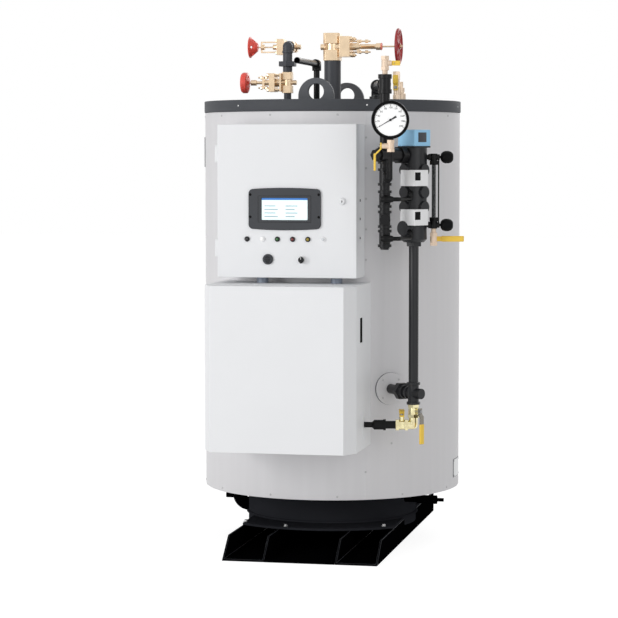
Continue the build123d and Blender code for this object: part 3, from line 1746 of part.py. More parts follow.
bottom_drains.part.label = "bottom_drains"
export_step(bottom_drains.part, "parts/bottom_drains.step")

# Flue outlet at the back
with BuildPart() as flue_outlet:
    flue = facing((0, 0, flue_height), 180)
    flue_end = jacket_radius + flue_proud
    rod(flue, flue_radius, wall_start, flue_end)
    rod(flue, flue_collar_radius, wall_start, jacket_radius + flue_collar)
    shell_cut(flue_height, 2 * flue_collar_radius)
    rod(flue, flue_radius - flue_wall, wall_start, flue_end, mode=Mode.SUBTRACT)
flue_outlet.part.label = "flue_outlet"
export_step(flue_outlet.part, "parts/flue_outlet.step")
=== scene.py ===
"""Looks of a vertical steam boiler on a skid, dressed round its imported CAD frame."""

import json
import logging
from dataclasses import dataclass, field
from enum import Enum
from math import cos, pi, radians, sin
from typing import Iterable, Optional, Sequence

import bmesh
import bpy
from mathutils import Matrix, Vector


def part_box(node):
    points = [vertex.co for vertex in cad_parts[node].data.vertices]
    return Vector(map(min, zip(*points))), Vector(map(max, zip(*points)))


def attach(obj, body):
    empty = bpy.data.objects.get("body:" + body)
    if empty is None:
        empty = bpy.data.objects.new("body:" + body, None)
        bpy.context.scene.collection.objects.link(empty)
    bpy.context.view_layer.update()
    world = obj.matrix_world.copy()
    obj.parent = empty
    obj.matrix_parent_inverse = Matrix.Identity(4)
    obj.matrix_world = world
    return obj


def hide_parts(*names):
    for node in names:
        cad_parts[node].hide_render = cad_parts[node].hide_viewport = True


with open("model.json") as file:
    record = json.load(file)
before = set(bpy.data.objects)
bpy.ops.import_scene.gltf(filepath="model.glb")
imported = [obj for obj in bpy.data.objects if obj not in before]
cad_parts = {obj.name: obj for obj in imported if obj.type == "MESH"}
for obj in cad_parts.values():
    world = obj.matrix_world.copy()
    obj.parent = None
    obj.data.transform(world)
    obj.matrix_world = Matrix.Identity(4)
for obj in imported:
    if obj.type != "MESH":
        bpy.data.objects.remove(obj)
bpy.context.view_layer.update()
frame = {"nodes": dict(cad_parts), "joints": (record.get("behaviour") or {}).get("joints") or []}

log = logging.getLogger("boiler")

MM = 0.001
WELD = 0.00001
FLAT_ANGLE = radians(1.0)
SHARP_ANGLE = radians(34.0)
LEAST_ROUGHNESS = 0.02
ALONG = 0.99
NEAR_LEVEL = 0.9
HEX_SIDES = 6
HEX_BROW = 0.82
HEX_TOP = 0.86
FIGURE_SCALE = 1.4
UP = Vector((0, 0, 1))

Rgb = tuple[int, int, int]
Profile = Sequence[tuple[float, float]]


class Body(Enum):
    """Bodies of the frame that pieces ride on."""

    BOILER = "boiler"
    DOOR = "panel_door"
    SELECTOR = "selector"
    STEAM_WHEEL = "steam_handwheel"
    FEED_WHEEL = "feed_handwheel"
    SUPPLY_WHEEL = "supply_handwheel"
    GAUGE_LEVER = "gauge_lever"
    GLASS_LEVER = "glass_lever"
    DRAIN_LEVER = "drain_lever"
    BRANCH_LEVER = "branch_lever"
    VENT_HANDLE = "vent_handle"
    BLEED_HANDLE = "bleed_handle"
    UPPER_COCK = "upper_cock"
    LOWER_COCK = "lower_cock"


class Slot(Enum):
    """Material slots of the record."""

    SHELL = "shell_paint"
    PANEL = "panel_paint"
    DARK = "dark_paint"
    SKID = "skid_paint"
    PIPE = "pipe_iron"
    BRONZE = "valve_bronze"
    BRASS = "ball_brass"
    YELLOW = "lever_yellow"
    RED = "wheel_red"
    DARK_RED = "steam_wheel_red"
    BLUE = "control_blue"
    WHITE = "probe_white"
    GAUGE = "gauge_case"
    GLASS = "sight_glass"
    PLASTIC = "black_plastic"
    SCREEN = "screen_glass"
    STEEL = "bright_steel"
    ZINC = "galvanised"


def linear(channel: int) -> float:
    """Linear value of an sRGB channel from 0 to 255."""
    value = channel / 255
    return value / 12.92 if value <= 0.04045 else ((value + 0.055) / 1.055) ** 2.4


def shade(colour: Rgb, factor: float = 1.0) -> tuple[float, float, float, float]:
    """Linear colour of an sRGB one, made lighter or darker by a factor."""
    red, green, blue = (min(1.0, linear(channel) * factor) for channel in colour)
    return red, green, blue, 1.0


@dataclass(frozen=True)
class Finish:
    """Colour and gloss of a surface, with a fine procedural grain.

    Grain and cloud are counts per metre, and relief is the grain's height in metres.
    """

    name: str
    slot: Slot
    colour: Rgb
    roughness: float
    metallic: float = 0.0
    grain: float = 420.0
    relief: float = 0.00002
    cloud: float = 6.0
    mottle: float = 0.03
    unevenness: float = 0.05
    coat: float = 0.0
    alpha: float = 1.0
    glow: float = 0.0
    specular: float = 0.5
    stretch: tuple[float, float, float] = (1.0, 1.0, 1.0)

    def material(self) -> bpy.types.Material:
        """Makes the material on its first use.

        Returns:
            The material of this finish.
        """
        label = self.name + "_finish"
        made = bpy.data.materials.get(label)
        if made:
            return made
        made = bpy.data.materials.new(label)
        made.use_nodes = True
        tree = made.node_tree
        surface = tree.nodes["Principled BSDF"]
        surface.inputs["Metallic"].default_value = self.metallic
        surface.inputs["Coat Weight"].default_value = self.coat
        surface.inputs["Alpha"].default_value = self.alpha
        surface.inputs["Specular IOR Level"].default_value = self.specular
        place = tree.nodes.new("ShaderNodeTexCoord").outputs["Object"]
        drawn = tree.nodes.new("ShaderNodeMapping")
        drawn.inputs["Scale"].default_value = self.stretch
        tree.links.new(place, drawn.inputs["Vector"])
        clouds = self._noise(tree, drawn.outputs["Vector"], self.cloud)
        tint = tree.nodes.new("ShaderNodeValToRGB")
        tint.color_ramp.elements[0].color = shade(self.colour, 1 - self.mottle)
        tint.color_ramp.elements[1].color = shade(self.colour, 1 + self.mottle)
        tree.links.new(clouds, tint.inputs["Fac"])
        tree.links.new(tint.outputs["Color"], surface.inputs["Base Color"])
        gloss = tree.nodes.new("ShaderNodeMapRange")
        smoothest = max(LEAST_ROUGHNESS, self.roughness - self.unevenness)
        gloss.inputs["To Min"].default_value = smoothest
        gloss.inputs["To Max"].default_value = self.roughness + self.unevenness
        tree.links.new(clouds, gloss.inputs["Value"])
        tree.links.new(gloss.outputs["Result"], surface.inputs["Roughness"])
        bump = tree.nodes.new("ShaderNodeBump")
        bump.inputs["Distance"].default_value = self.relief
        tree.links.new(self._noise(tree, place, self.grain), bump.inputs["Height"])
        tree.links.new(bump.outputs["Normal"], surface.inputs["Normal"])
        if self.glow:
            surface.inputs["Emission Strength"].default_value = self.glow
            tree.links.new(tint.outputs["Color"], surface.inputs["Emission Color"])
        return made

    @staticmethod
    def _noise(
        tree: bpy.types.NodeTree, place: bpy.types.NodeSocket, scale: float
    ) -> bpy.types.NodeSocket:
        """Adds a noise texture.

        Args:
            tree: The material's node tree.
            place: Socket of the coordinates.
            scale: Grains per metre.

        Returns:
            The noise's value socket.
        """
        noise = tree.nodes.new("ShaderNodeTexNoise")
        noise.inputs["Scale"].default_value = scale
        tree.links.new(place, noise.inputs["Vector"])
        return noise.outputs["Fac"]


STREAKS = (1.0, 1.0, 0.03)
LOOPS = (0.2, 1.0, 1.0)

SHELL_SCREW = Finish("shell_screw", Slot.SHELL, (198, 198, 199), roughness=0.45, mottle=0.05)
PLATE_GREY = Finish("plate_grey", Slot.SHELL, (126, 127, 130), roughness=0.45, mottle=0.05)
SHELL_PAINT = Finish(
    "shell_paint", Slot.SHELL, (225, 224, 226),
    roughness=0.5,
    relief=0.00001,
    cloud=34.0,
    mottle=0.035,
    specular=0.25,
    stretch=STREAKS,
)
PANEL_PAINT = Finish(
    "panel_paint", Slot.PANEL, (240, 241, 243),
    roughness=0.46,
    relief=0.00001,
    mottle=0.012,
    specular=0.3,
)
COVER_PAINT = Finish(
    "cover_paint", Slot.PANEL, (240, 241, 243),
    roughness=0.44,
    relief=0.00001,
    mottle=0.015,
    specular=0.3,
)
DARK_PAINT = Finish(
    "dark_paint", Slot.DARK, (78, 80, 84),
    roughness=0.55,
    relief=0.00003,
    mottle=0.08,
    specular=0.14,
)
# The band's dark paint made lighter for the lugs: painted light that makes up for the light the
# lugs miss.
LUG_PAINT_LIGHTENED = Finish(
    "lug_paint_lightened", Slot.DARK, (104, 106, 110),
    roughness=0.55,
    relief=0.00003,
    mottle=0.08,
    specular=0.14,
)
SKID_PAINT = Finish(
    "skid_paint", Slot.SKID, (4, 4, 5), roughness=0.6, relief=0.00004, mottle=0.2, specular=0.0
)
# The skid's black paint made lighter for the skirt and its weld: a painted sheen in place of the
# highlight the skirt reflects.
SKIRT_PAINT_SHEEN = Finish(
    "skirt_paint_sheen", Slot.SKID, (42, 43, 47), roughness=0.6, relief=0.00004, mottle=0.15, specular=0.0
)
# Lighter paint on the rails' rounded edges: a painted highlight where the edges catch the light.
SKID_EDGE_HIGHLIGHT = Finish(
    "skid_edge_highlight", Slot.SKID, (42, 44, 48), roughness=0.5, mottle=0.3, cloud=30.0, specular=0.1
)
PIPE_IRON = Finish(
    "pipe_iron", Slot.PIPE, (32, 33, 36),
    roughness=0.34,
    grain=900.0,
    relief=0.00003,
    mottle=0.15,
    specular=0.3,
)
TOP_IRON = Finish(
    "top_iron", Slot.PIPE, (70, 72, 77),
    roughness=0.45,
    grain=900.0,
    relief=0.00006,
    mottle=0.1,
    specular=0.3,
)
TREE_IRON = Finish(
    "tree_iron", Slot.PIPE, (7, 7, 8),
    roughness=0.32,
    grain=900.0,
    relief=0.00003,
    mottle=0.2,
    specular=0.16,
)
STACK_IRON = Finish(
    "stack_iron", Slot.PIPE, (18, 18, 20),
    roughness=0.33,
    grain=900.0,
    relief=0.00003,
    mottle=0.2,
    specular=0.2,
)
BRONZE = Finish(
    "valve_bronze", Slot.BRONZE, (238, 212, 178),
    roughness=0.22,
    metallic=0.65,
    grain=1100.0,
    relief=0.00003,
    cloud=40.0,
    mottle=0.12,
)
# Darker copy of the valve bronze: painted shade for the shadow in the sleeve's slots.
BRONZE_SLOT_SHADE = Finish(
    "valve_bronze_slot_shade", Slot.BRONZE, (150, 108, 66),
    roughness=0.34,
    metallic=0.9,
    grain=1100.0,
    relief=0.00006,
    cloud=40.0,
    mottle=0.15,
)
PALE_BRONZE = Finish(
    "pale_bronze", Slot.BRONZE, (236, 212, 188),
    roughness=0.5,
    metallic=0.15,
    grain=1000.0,
    relief=0.00006,
    cloud=40.0,
    mottle=0.08,
)
TOP_BRONZE = Finish(
    "top_bronze", Slot.BRONZE, (230, 208, 184),
    roughness=0.34,
    metallic=0.5,
    grain=1000.0,
    relief=0.00006,
    cloud=40.0,
    mottle=0.08,
)
BRASS = Finish(
    "ball_brass", Slot.BRASS, (240, 216, 172),
    roughness=0.12,
    metallic=1.0,
    grain=900.0,
    relief=0.00003,
    cloud=70.0,
    mottle=0.4,
)
LEVER_YELLOW = Finish("lever_yellow", Slot.YELLOW, (255, 212, 80), roughness=0.45)
LEVER_STEEL = Finish(
    "lever_steel", Slot.YELLOW, (132, 128, 120),
    roughness=0.28,
    metallic=1.0,
    grain=900.0,
    relief=0.00003,
    cloud=50.0,
)
WHEEL_RED = Finish("wheel_red", Slot.RED, (250, 92, 80), roughness=0.4, grain=700.0, relief=0.00005)
WHEEL_DARK_RED = Finish(
    "steam_wheel_red", Slot.DARK_RED, (166, 46, 48), roughness=0.42, grain=700.0, relief=0.00005
)
CONTROL_BLUE = Finish(
    "control_blue", Slot.BLUE, (158, 214, 250), roughness=0.45, grain=800.0, relief=0.00004
)
PROBE_WHITE = Finish("probe_white", Slot.WHITE, (250, 250, 251), roughness=0.42)
GAUGE_BLACK = Finish("gauge_black", Slot.GAUGE, (3, 3, 4), roughness=0.35, specular=0.1)
# The dial's white glows a little: painted light that keeps the card bright behind the lens.
GLOWING_DIAL_WHITE = Finish(
    "glowing_dial_white", Slot.GAUGE, (255, 255, 255), roughness=0.6, mottle=0.004, glow=0.12
)
DIAL_BLACK = Finish("dial_black", Slot.GAUGE, (14, 14, 16), roughness=0.5, specular=0.2)
DARK_GLASS = Finish(
    "dark_glass", Slot.GLASS, (16, 18, 20), roughness=0.08, unevenness=0.03, mottle=0.2
)
CLEAR_GLASS = Finish(
    "clear_glass", Slot.GLASS, (44, 48, 50), roughness=0.05, alpha=0.3, unevenness=0.02, mottle=0.05
)
LENS_GLASS = Finish(
    "gauge_lens", Slot.GAUGE, (240, 244, 244),
    roughness=0.04,
    alpha=0.02,
    unevenness=0.02,
    mottle=0.01,
)
BLACK_PLASTIC = Finish(
    "black_plastic", Slot.PLASTIC, (22, 23, 26),
    roughness=0.42,
    grain=1400.0,
    relief=0.00003,
    specular=0.3,
)
DEEP_BLACK = Finish(
    "deep_black", Slot.PLASTIC, (5, 5, 6), roughness=0.55, grain=1400.0, specular=0.1
)
BEZEL_GREY = Finish(
    "bezel_grey", Slot.PLASTIC, (62, 64, 68),
    roughness=0.5,
    grain=1400.0,
    relief=0.00003,
    specular=0.3,
)
WINDOW_GREY = Finish(
    "window_grey", Slot.PLASTIC, (66, 70, 76), roughness=0.3, grain=1400.0, specular=0.3
)
BRIGHT_STEEL = Finish(
    "bright_steel", Slot.STEEL, (206, 206, 206),
    roughness=0.26,
    metallic=1.0,
    grain=900.0,
    relief=0.00002,
    cloud=60.0,
)
BRUSHED_STEEL = Finish(
    "brushed_steel", Slot.STEEL, (196, 197, 198),
    roughness=0.34,
    metallic=0.9,
    grain=900.0,
    relief=0.00002,
    cloud=160.0,
    mottle=0.08,
    stretch=LOOPS,
)
SCREW_ZINC = Finish(
    "screw_zinc", Slot.STEEL, (150, 151, 153),
    roughness=0.36,
    metallic=1.0,
    grain=900.0,
    relief=0.00002,
    cloud=60.0,
)
GALVANISED = Finish(
    "galvanised", Slot.ZINC, (186, 190, 193),
    roughness=0.42,
    metallic=0.9,
    grain=60.0,
    relief=0.00002,
    cloud=45.0,
    mottle=0.12,
)
CONDUIT_GREY = Finish(
    "conduit_grey", Slot.SKID, (132, 140, 154),
    roughness=0.45,
    metallic=0.2,
    grain=700.0,
    relief=0.00003,
    cloud=30.0,
    mottle=0.1,
)
RUBBER = Finish(
    "rubber_seal", Slot.PLASTIC, (20, 20, 21),
    roughness=0.7,
    grain=900.0,
    relief=0.00004,
    specular=0.2,
)
DISPLAY_PALE = Finish(
    "display_pale", Slot.SCREEN, (232, 248, 249), roughness=0.16, cloud=18.0, mottle=0.08, glow=0.34
)
DISPLAY_BLUE = Finish(
    "display_blue", Slot.SCREEN, (58, 122, 200), roughness=0.16, cloud=18.0, mottle=0.1, glow=0.25
)
DISPLAY_INK = Finish(
    "display_ink", Slot.SCREEN, (158, 182, 192), roughness=0.16, cloud=18.0, mottle=0.1, glow=0.1
)


def lens(name: str, colour: Rgb, glow: float) -> Finish:
    """Finish of a lamp's coloured lens."""
    return Finish(name, Slot.STEEL, colour, roughness=0.15, coat=0.5, glow=glow)


JOINTS = {joint["child"]: joint for joint in frame["joints"]}


def pivot(body: Body) -> tuple[Vector, Vector]:
    """Point and direction of the axis that a moving body turns about."""
    joint = JOINTS[body.value]
    return Vector(joint["pos_m"]), Vector(joint["axis"]).normalized()


def points_of(node: str) -> list[Vector]:
    """Points of a CAD node's mesh."""
    return [vertex.co.copy() for vertex in frame["nodes"][node].data.vertices]


def crown(node: str, origin: Vector, way: Vector, reach: float) -> float:
    """Measures a node along an axis.

    Args:
        node: The CAD node.
        origin: Point on the axis.
        way: Direction of the axis.
        reach: How far from the axis points still count.

    Returns:
        How far the node goes along the axis, close round it.
    """
    best = 0.0
    for point in points_of(node):
        along = (point - origin).dot(way)
        if (point - origin - way * along).length < reach:
            best = max(best, along)
    return best


def heading(angle: float) -> Vector:
    """Level direction, in degrees from the front towards the right."""
    return Vector((sin(radians(angle)), -cos(radians(angle)), 0.0))


def placed(origin: Vector, along: Vector, across: Optional[Vector] = None) -> Matrix:
    """Frame of a piece.

    Args:
        origin: Where the piece stands.
        along: Direction of its own Z axis.
        across: Direction near its own X axis, if that matters.

    Returns:
        The frame as a matrix.
    """
    z_axis = along.normalized()
    guess = across if across is not None else UP
    if abs(guess.normalized().dot(z_axis)) > ALONG:
        guess = Vector((1, 0, 0)) if abs(z_axis.x) < NEAR_LEVEL else Vector((0, 1, 0))
    x_axis = (guess - z_axis * guess.dot(z_axis)).normalized()
    y_axis = z_axis.cross(x_axis)
    turn = Matrix((x_axis, y_axis, z_axis)).transposed()
    return Matrix.Translation(origin) @ turn.to_4x4()


def shown(
    name: str, data: bpy.types.Mesh, body: Body, finish: Finish, replaces: Iterable[str] = ()
) -> bpy.types.Object:
    """Puts a mesh in the scene as a piece of the boiler.

    Args:
        name: Name of the piece.
        data: Its mesh, in the row frame.
        body: Body that it rides on.
        finish: Its finish.
        replaces: CAD nodes that it stands for.

    Returns:
        The piece's object.
    """
    data.shade_smooth()
    data.set_sharp_from_angle(angle=SHARP_ANGLE)
    data.materials.clear()
    data.materials.append(finish.material())
    piece = bpy.data.objects.new(name, data)
    bpy.context.scene.collection.objects.link(piece)
    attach(piece, body.value)
    nodes = tuple(replaces)
    if nodes:
        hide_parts(*nodes)
    log.info("%s: %d faces on %s", name, len(data.polygons), body.value)
    return piece


def softened(
    node: str,
    finish: Finish,
    width: float = 0.4,
    body: Body = Body.BOILER,
    edge: Optional[Finish] = None,
) -> bpy.types.Object:
    """Stands a round-edged skin in for a CAD node.

    Args:
        node: The CAD node.
        finish: Finish of the skin.
        width: Width of the rounded edges, in millimetres.
        body: Body that the node rides on.
        edge: Finish of the rounded edges, made lighter as a painted highlight, if they differ.

    Returns:
        The skin's object.
    """
    shape = bmesh.new()
    shape.from_mesh(frame["nodes"][node].data)
    bmesh.ops.remove_doubles(shape, verts=shape.verts, dist=WELD)
    bmesh.ops.dissolve_limit(shape, angle_limit=FLAT_ANGLE, verts=shape.verts, edges=shape.edges)
    data = bpy.data.meshes.new(node + "_skin")
    shape.to_mesh(data)
    shape.free()
    skin = shown(node + "_skin", data, body, finish, (node,))
    rounding = skin.modifiers.new("rounded_edges", "BEVEL")
    rounding.width = width * MM
    rounding.segments = 2
    rounding.limit_method = "ANGLE"
    rounding.angle_limit = SHARP_ANGLE
    rounding.use_clamp_overlap = False
    # The rounded edges take the edge finish, a painted highlight along them.
    if edge is not None:
        data.materials.append(edge.material())
        rounding.material = 1
    evening = skin.modifiers.new("even_shading", "WEIGHTED_NORMAL")
    evening.keep_sharp = True
    return skin


class Mesher:
    """Collects turned, bent and cut shapes into one mesh."""

    def __init__(self) -> None:
        """Starts an empty mesh."""
        self.mesh = bmesh.new()

    def _skin(self, low: list, high: list) -> None:
        """Joins two rings of points with faces; a ring may be a single point."""
        count = max(len(low), len(high))
        for step in range(count):
            after = (step + 1) % count
            if len(low) == 1:
                corners = (low[0], high[after], high[step])
            elif len(high) == 1:
                corners = (low[step], low[after], high[0])
            else:
                corners = (low[step], low[after], high[after], high[step])
            self.mesh.faces.new(corners)

    def turn(self, place: Matrix, profile: Profile, steps: int = 32, closed: bool = False) -> None:
        """Adds a turned shape.

        Args:
            place: Frame of the shape; it turns about the frame's Z axis.
            profile: Pairs of radius and height.
            steps: Points round each ring.
            closed: True where the profile's end meets its start.
        """
        rings = []
        for radius, height in profile:
            if radius < WELD:
                rings.append([self.mesh.verts.new(place @ Vector((0, 0, height)))])
                continue
            ring = []
            for step in range(steps):
                angle = 2 * pi * step / steps
                spot = Vector((radius * cos(angle), radius * sin(angle), height))
                ring.append(self.mesh.verts.new(place @ spot))
            rings.append(ring)
        for low, high in zip(rings, rings[1:]):
            self._skin(low, high)
        if closed:
            self._skin(rings[-1], rings[0])
            return
        for ring in (rings[0], rings[-1]):
            if len(ring) > 1:
                self.mesh.faces.new(ring)

    def block(self, place: Matrix, size: Sequence[float], bevel: float, segments: int = 2) -> None:
        """Adds a round-edged block, centred on its frame.

        Args:
            place: Frame of the block.
            size: Its three sides.
            bevel: Width of its rounded edges.
            segments: Faces across each rounded edge.
        """
        stretched = place @ Matrix.Diagonal((*size, 1.0))
        made = bmesh.ops.create_cube(self.mesh, size=1.0, matrix=stretched)
        self._round(made["verts"], bevel, segments)

    def plate(self, place: Matrix, outline: Profile, depth: float, bevel: float = 0.0) -> None:
        """Adds a flat plate.

        Args:
            place: Frame of the plate, which rises along the frame's Z axis.
            outline: Its corners, counter-clockwise.
            depth: Its thickness.
            bevel: Width of its rounded edges.
        """
        low = [self.mesh.verts.new(place @ Vector((x, y, 0))) for x, y in outline]
        high = [self.mesh.verts.new(place @ Vector((x, y, depth))) for x, y in outline]
        self._skin(low, high)
        self.mesh.faces.new(low[::-1])
        self.mesh.faces.new(high)
        self._round(low + high, bevel, 2)

    def hexagon(self, place: Matrix, flats: float, height: float) -> None:
        """Adds a hexagon nut or bolt head with a chamfered top, on its frame."""
        corner = flats / 2 / cos(pi / HEX_SIDES)
        brow = (corner, height * HEX_BROW)
        self.turn(place, ((corner, 0), brow, (corner * HEX_TOP, height)), HEX_SIDES)

    def stamp(self, place: Matrix, words: str, height: float) -> None:
        """Adds flat figures.

        Args:
            place: Frame of the figures' middle, which face along its Z axis.
            words: The figures.
            height: Their height.
        """
        curve = bpy.data.curves.new("figures", "FONT")
        curve.body = words
        curve.size = height * FIGURE_SCALE
        curve.align_x = "CENTER"
        curve.align_y = "CENTER"
        sample = bpy.data.objects.new("figures", curve)
        data = bpy.data.meshes.new_from_object(sample)
        data.transform(place)
        self.mesh.from_mesh(data)
        bpy.data.objects.remove(sample)
        bpy.data.curves.remove(curve)
        bpy.data.meshes.remove(data)

    def _round(self, points: list, bevel: float, segments: int) -> None:
        """Rounds the edges between the points."""
        if bevel <= 0:
            return
        edges = {edge for point in points for edge in point.link_edges}
        bmesh.ops.bevel(
            self.mesh,
            geom=list(edges),
            offset=bevel,
            segments=segments,
            profile=0.5,
            affect="EDGES",
            clamp_overlap=True,
        )

    def piece(
        self, name: str, body: Body, finish: Finish, replaces: Iterable[str] = ()
    ) -> bpy.types.Object:
        """Shows the collected shapes as one piece.

        Args:
            name: Name of the piece.
            body: Body that it rides on.
            finish: Its finish.
            replaces: CAD nodes that it stands for.

        Returns:
            The piece's object.
        """
        bmesh.ops.recalc_face_normals(self.mesh, faces=self.mesh.faces)
        data = bpy.data.meshes.new(name)
        self.mesh.to_mesh(data)
        self.mesh.free()
        return shown(name, data, body, finish, replaces)


def scaled(shares: Profile, radius: float, height: float) -> list[tuple[float, float]]:
    """Profile in metres from one in shares of a radius and a height."""
    return [(radius * out, height * up) for out, up in shares]


@dataclass(frozen=True)
class PanScrew:
    """Round-headed screw with a dished top; shares are of its radius and height."""

    radius: float
    height: float
    steps: int = 16
    shares: Profile = ((1.0, 0.0), (1.0, 0.35), (0.82, 0.8), (0.45, 1.0), (0.35, 0.6), (0.0, 0.6))

    def add(self, mesher: Mesher, place: Matrix) -> None:
        """Adds the screw's head, which sits on its frame."""
        mesher.turn(place, scaled(self.shares, self.radius, self.height), self.steps)


@dataclass(frozen=True)
class HexBolt:
    """Hexagon bolt or nut on a washer."""

    flats: float
    height: float
    washer: float = 0.0015
    washer_share: float = 0.85
    steps: int = 24

    def add(self, mesher: Mesher, place: Matrix) -> None:
        """Adds the bolt's washer and head, which sit on its frame."""
        radius = self.flats * self.washer_share
        mesher.turn(place, ((radius, 0), (radius, self.washer), (0, self.washer)), self.steps)
        mesher.hexagon(place @ Matrix.Translation((0, 0, self.washer)), self.flats, self.height)


@dataclass
class Shell:
    """Insulated jacket, top band, top plate, lugs and flue."""

    steps: int = 192
    edge: float = 0.003
    edge_share: float = 0.3
    sheet_bends: int = 8
    band_inset: float = 0.0012
    seam_angle: float = 25.7
    seam_width: float = 0.35
    seam_thickness: float = 0.0006
    seam_pitch: float = 0.105
    seam_top: float = 0.091
    seam_screws: int = 12
    screw_pitch: float = 30.0
    screw_start: float = 13.3
    screw_edge: float = 0.013
    lone_screw: tuple[float, float] = (37.8, 0.379)
    band_start: float = -34.0
    band_pitch: float = 60.0
    flange_angle: float = 37.0
    flange_bolts: int = 4
    flange_bolt_share: float = 0.78
    flange_steps: int = 64
    seal_proud: float = 0.0006
    seal_rim_share: float = 0.72
    seal_top_share: float = 0.8
    plate_angle: float = 87.7
    plate_width: float = 12.4
    plate_low: float = 0.224
    plate_high: float = 0.289
    plate_rim: float = 0.42
    plate_rim_height: float = 0.0014
    plate_rim_proud: float = 0.0010
    plate_proud: float = 0.0014
    plate_rivet_share: float = 0.42
    plate_rivet_edge: float = 0.006
    side_plate_proud: float = 0.003
    side_plate_width: float = 7.5
    side_plate_angle: float = -79.0
    side_plate_low: float = 1.335
    side_plate_high: float = 1.443
    screw: PanScrew = field(default_factory=lambda: PanScrew(0.0038, 0.0018))
    rivet: PanScrew = field(default_factory=lambda: PanScrew(0.003, 0.001))

    def __post_init__(self) -> None:
        """Reads the jacket's and the band's boxes from the frame."""
        low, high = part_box("boiler_jacket")
        self.radius = high.x
        self.low = low.z
        self.high = high.z
        band_low, band_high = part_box("top_band")
        self.band_radius = band_high.x - self.band_inset
        self.band_low = band_low.z
        self.band_high = band_high.z
        self.vessel_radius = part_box("bottom_head")[1].x
        self.head_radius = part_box("top_head")[1].x

    def on_shell(self, angle: float, height: float, radius: float) -> Matrix:
        """Frame on a round wall that faces outwards at a heading and height."""
        way = heading(angle)
        return placed(way * radius + Vector((0, 0, height)), way)

    def ring(
        self, name: str, node: str, radii: tuple[float, float], finish: Finish
    ) -> None:
        """Shows a round-edged ring in place of a CAD node.

        Args:
            name: Name of the piece.
            node: The CAD node that it stands for, which gives its height.
            radii: Inside and outside radius.
            finish: Its finish.
        """
        inner, outer = radii
        low, high = (corner.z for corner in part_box(node))
        mesher = Mesher()
        edge = self.edge
        soft = edge * self.edge_share
        mesher.turn(
            Matrix.Identity(4),
            (
                (inner, low),
                (outer - edge, low),
                (outer - soft, low + soft),
                (outer, low + edge),
                (outer, high - edge),
                (outer - soft, high - soft),
                (outer - edge, high),
                (inner, high),
            ),
            self.steps,
            closed=True,
        )
        mesher.piece(name, Body.BOILER, finish, (node,))

    def sheet(
        self, mesher: Mesher, angle: float, width: float, low: float, high: float, proud: float
    ) -> None:
        """Adds a curved sheet that lies on the shell.

        Args:
            mesher: Mesh that takes the sheet.
            angle: Heading of its middle.
            width: Its width, in degrees.
            low: Height of its lower edge.
            high: Height of its upper edge.
            proud: How far it stands off the shell.
        """
        bends = self.sheet_bends
        arc = [angle + width * (part / bends - 0.5) for part in range(bends + 1)]
        inner = self.radius - self.edge
        outline = [tuple((heading(way) * (self.radius + proud)).to_2d()) for way in arc]
        outline += [tuple((heading(way) * inner).to_2d()) for way in reversed(arc)]
        mesher.plate(Matrix.Translation((0, 0, low)), outline, high - low)

    def seam(self) -> None:
        """Shows the jacket's upright lap seams."""
        mesher = Mesher()
        for angle in (self.seam_angle, self.seam_angle + 180.0):
            low, high = self.low + self.edge, self.high - self.edge
            self.sheet(mesher, angle, self.seam_width, low, high, self.seam_thickness)
        mesher.piece("jacket_seams", Body.BOILER, SHELL_PAINT)

    def screws(self) -> None:
        """Shows the jacket's screws and the band's rivets."""
        mesher = Mesher()
        for step in range(round(360 / self.screw_pitch)):
            angle = self.screw_start + step * self.screw_pitch
            for height in (self.high - self.screw_edge, self.low + self.screw_edge):
                self.screw.add(mesher, self.on_shell(angle, height, self.radius))
        proud = self.radius + self.seam_thickness
        for angle in (self.seam_angle, self.seam_angle + 180.0):
            for step in range(self.seam_screws):
                height = self.high - self.seam_top - step * self.seam_pitch
                self.screw.add(mesher, self.on_shell(angle, height, proud))
        self.screw.add(mesher, self.on_shell(*self.lone_screw, self.radius))
        mesher.piece("jacket_screws", Body.BOILER, SHELL_SCREW)
        rivets = Mesher()
        middle = (self.band_low + self.band_high) / 2
        for step in range(round(360 / self.band_pitch)):
            angle = self.band_start + step * self.band_pitch
            self.rivet.add(rivets, self.on_shell(angle, middle, self.band_radius))
        rivets.piece("band_rivets", Body.BOILER, BRIGHT_STEEL)

    def flange(self) -> None:
        """Shows the seal and the screws of the wall flange."""
        low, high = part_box("wall_flange")
        radius = (high.z - low.z) / 2
        middle = Vector((0, 0, (low.z + high.z) / 2))
        way = heading(self.flange_angle)
        face = crown("wall_flange", middle, way, radius * 2)
        seal = Mesher()
        sunk = face - self.radius + self.edge * 2
        rim = radius + self.seal_proud
        place = placed(middle + way * (face - sunk), way)
        brow, top = sunk * self.seal_rim_share, sunk * self.seal_top_share
        profile = ((radius, 0), (rim, 0), (rim, brow), (radius, top))
        seal.turn(place, profile, self.flange_steps, closed=True)
        seal.piece("flange_seal", Body.BOILER, PLATE_GREY)
        screws = Mesher()
        place = placed(middle + way * face, way)
        for step in range(self.flange_bolts):
            turn = Matrix.Rotation(2 * pi * (step + 0.5) / self.flange_bolts, 4, "Z")
            spot = Matrix.Translation((radius * self.flange_bolt_share, 0, 0))
            self.screw.add(screws, place @ turn @ spot)
        screws.piece("flange_screws", Body.BOILER, SHELL_SCREW)

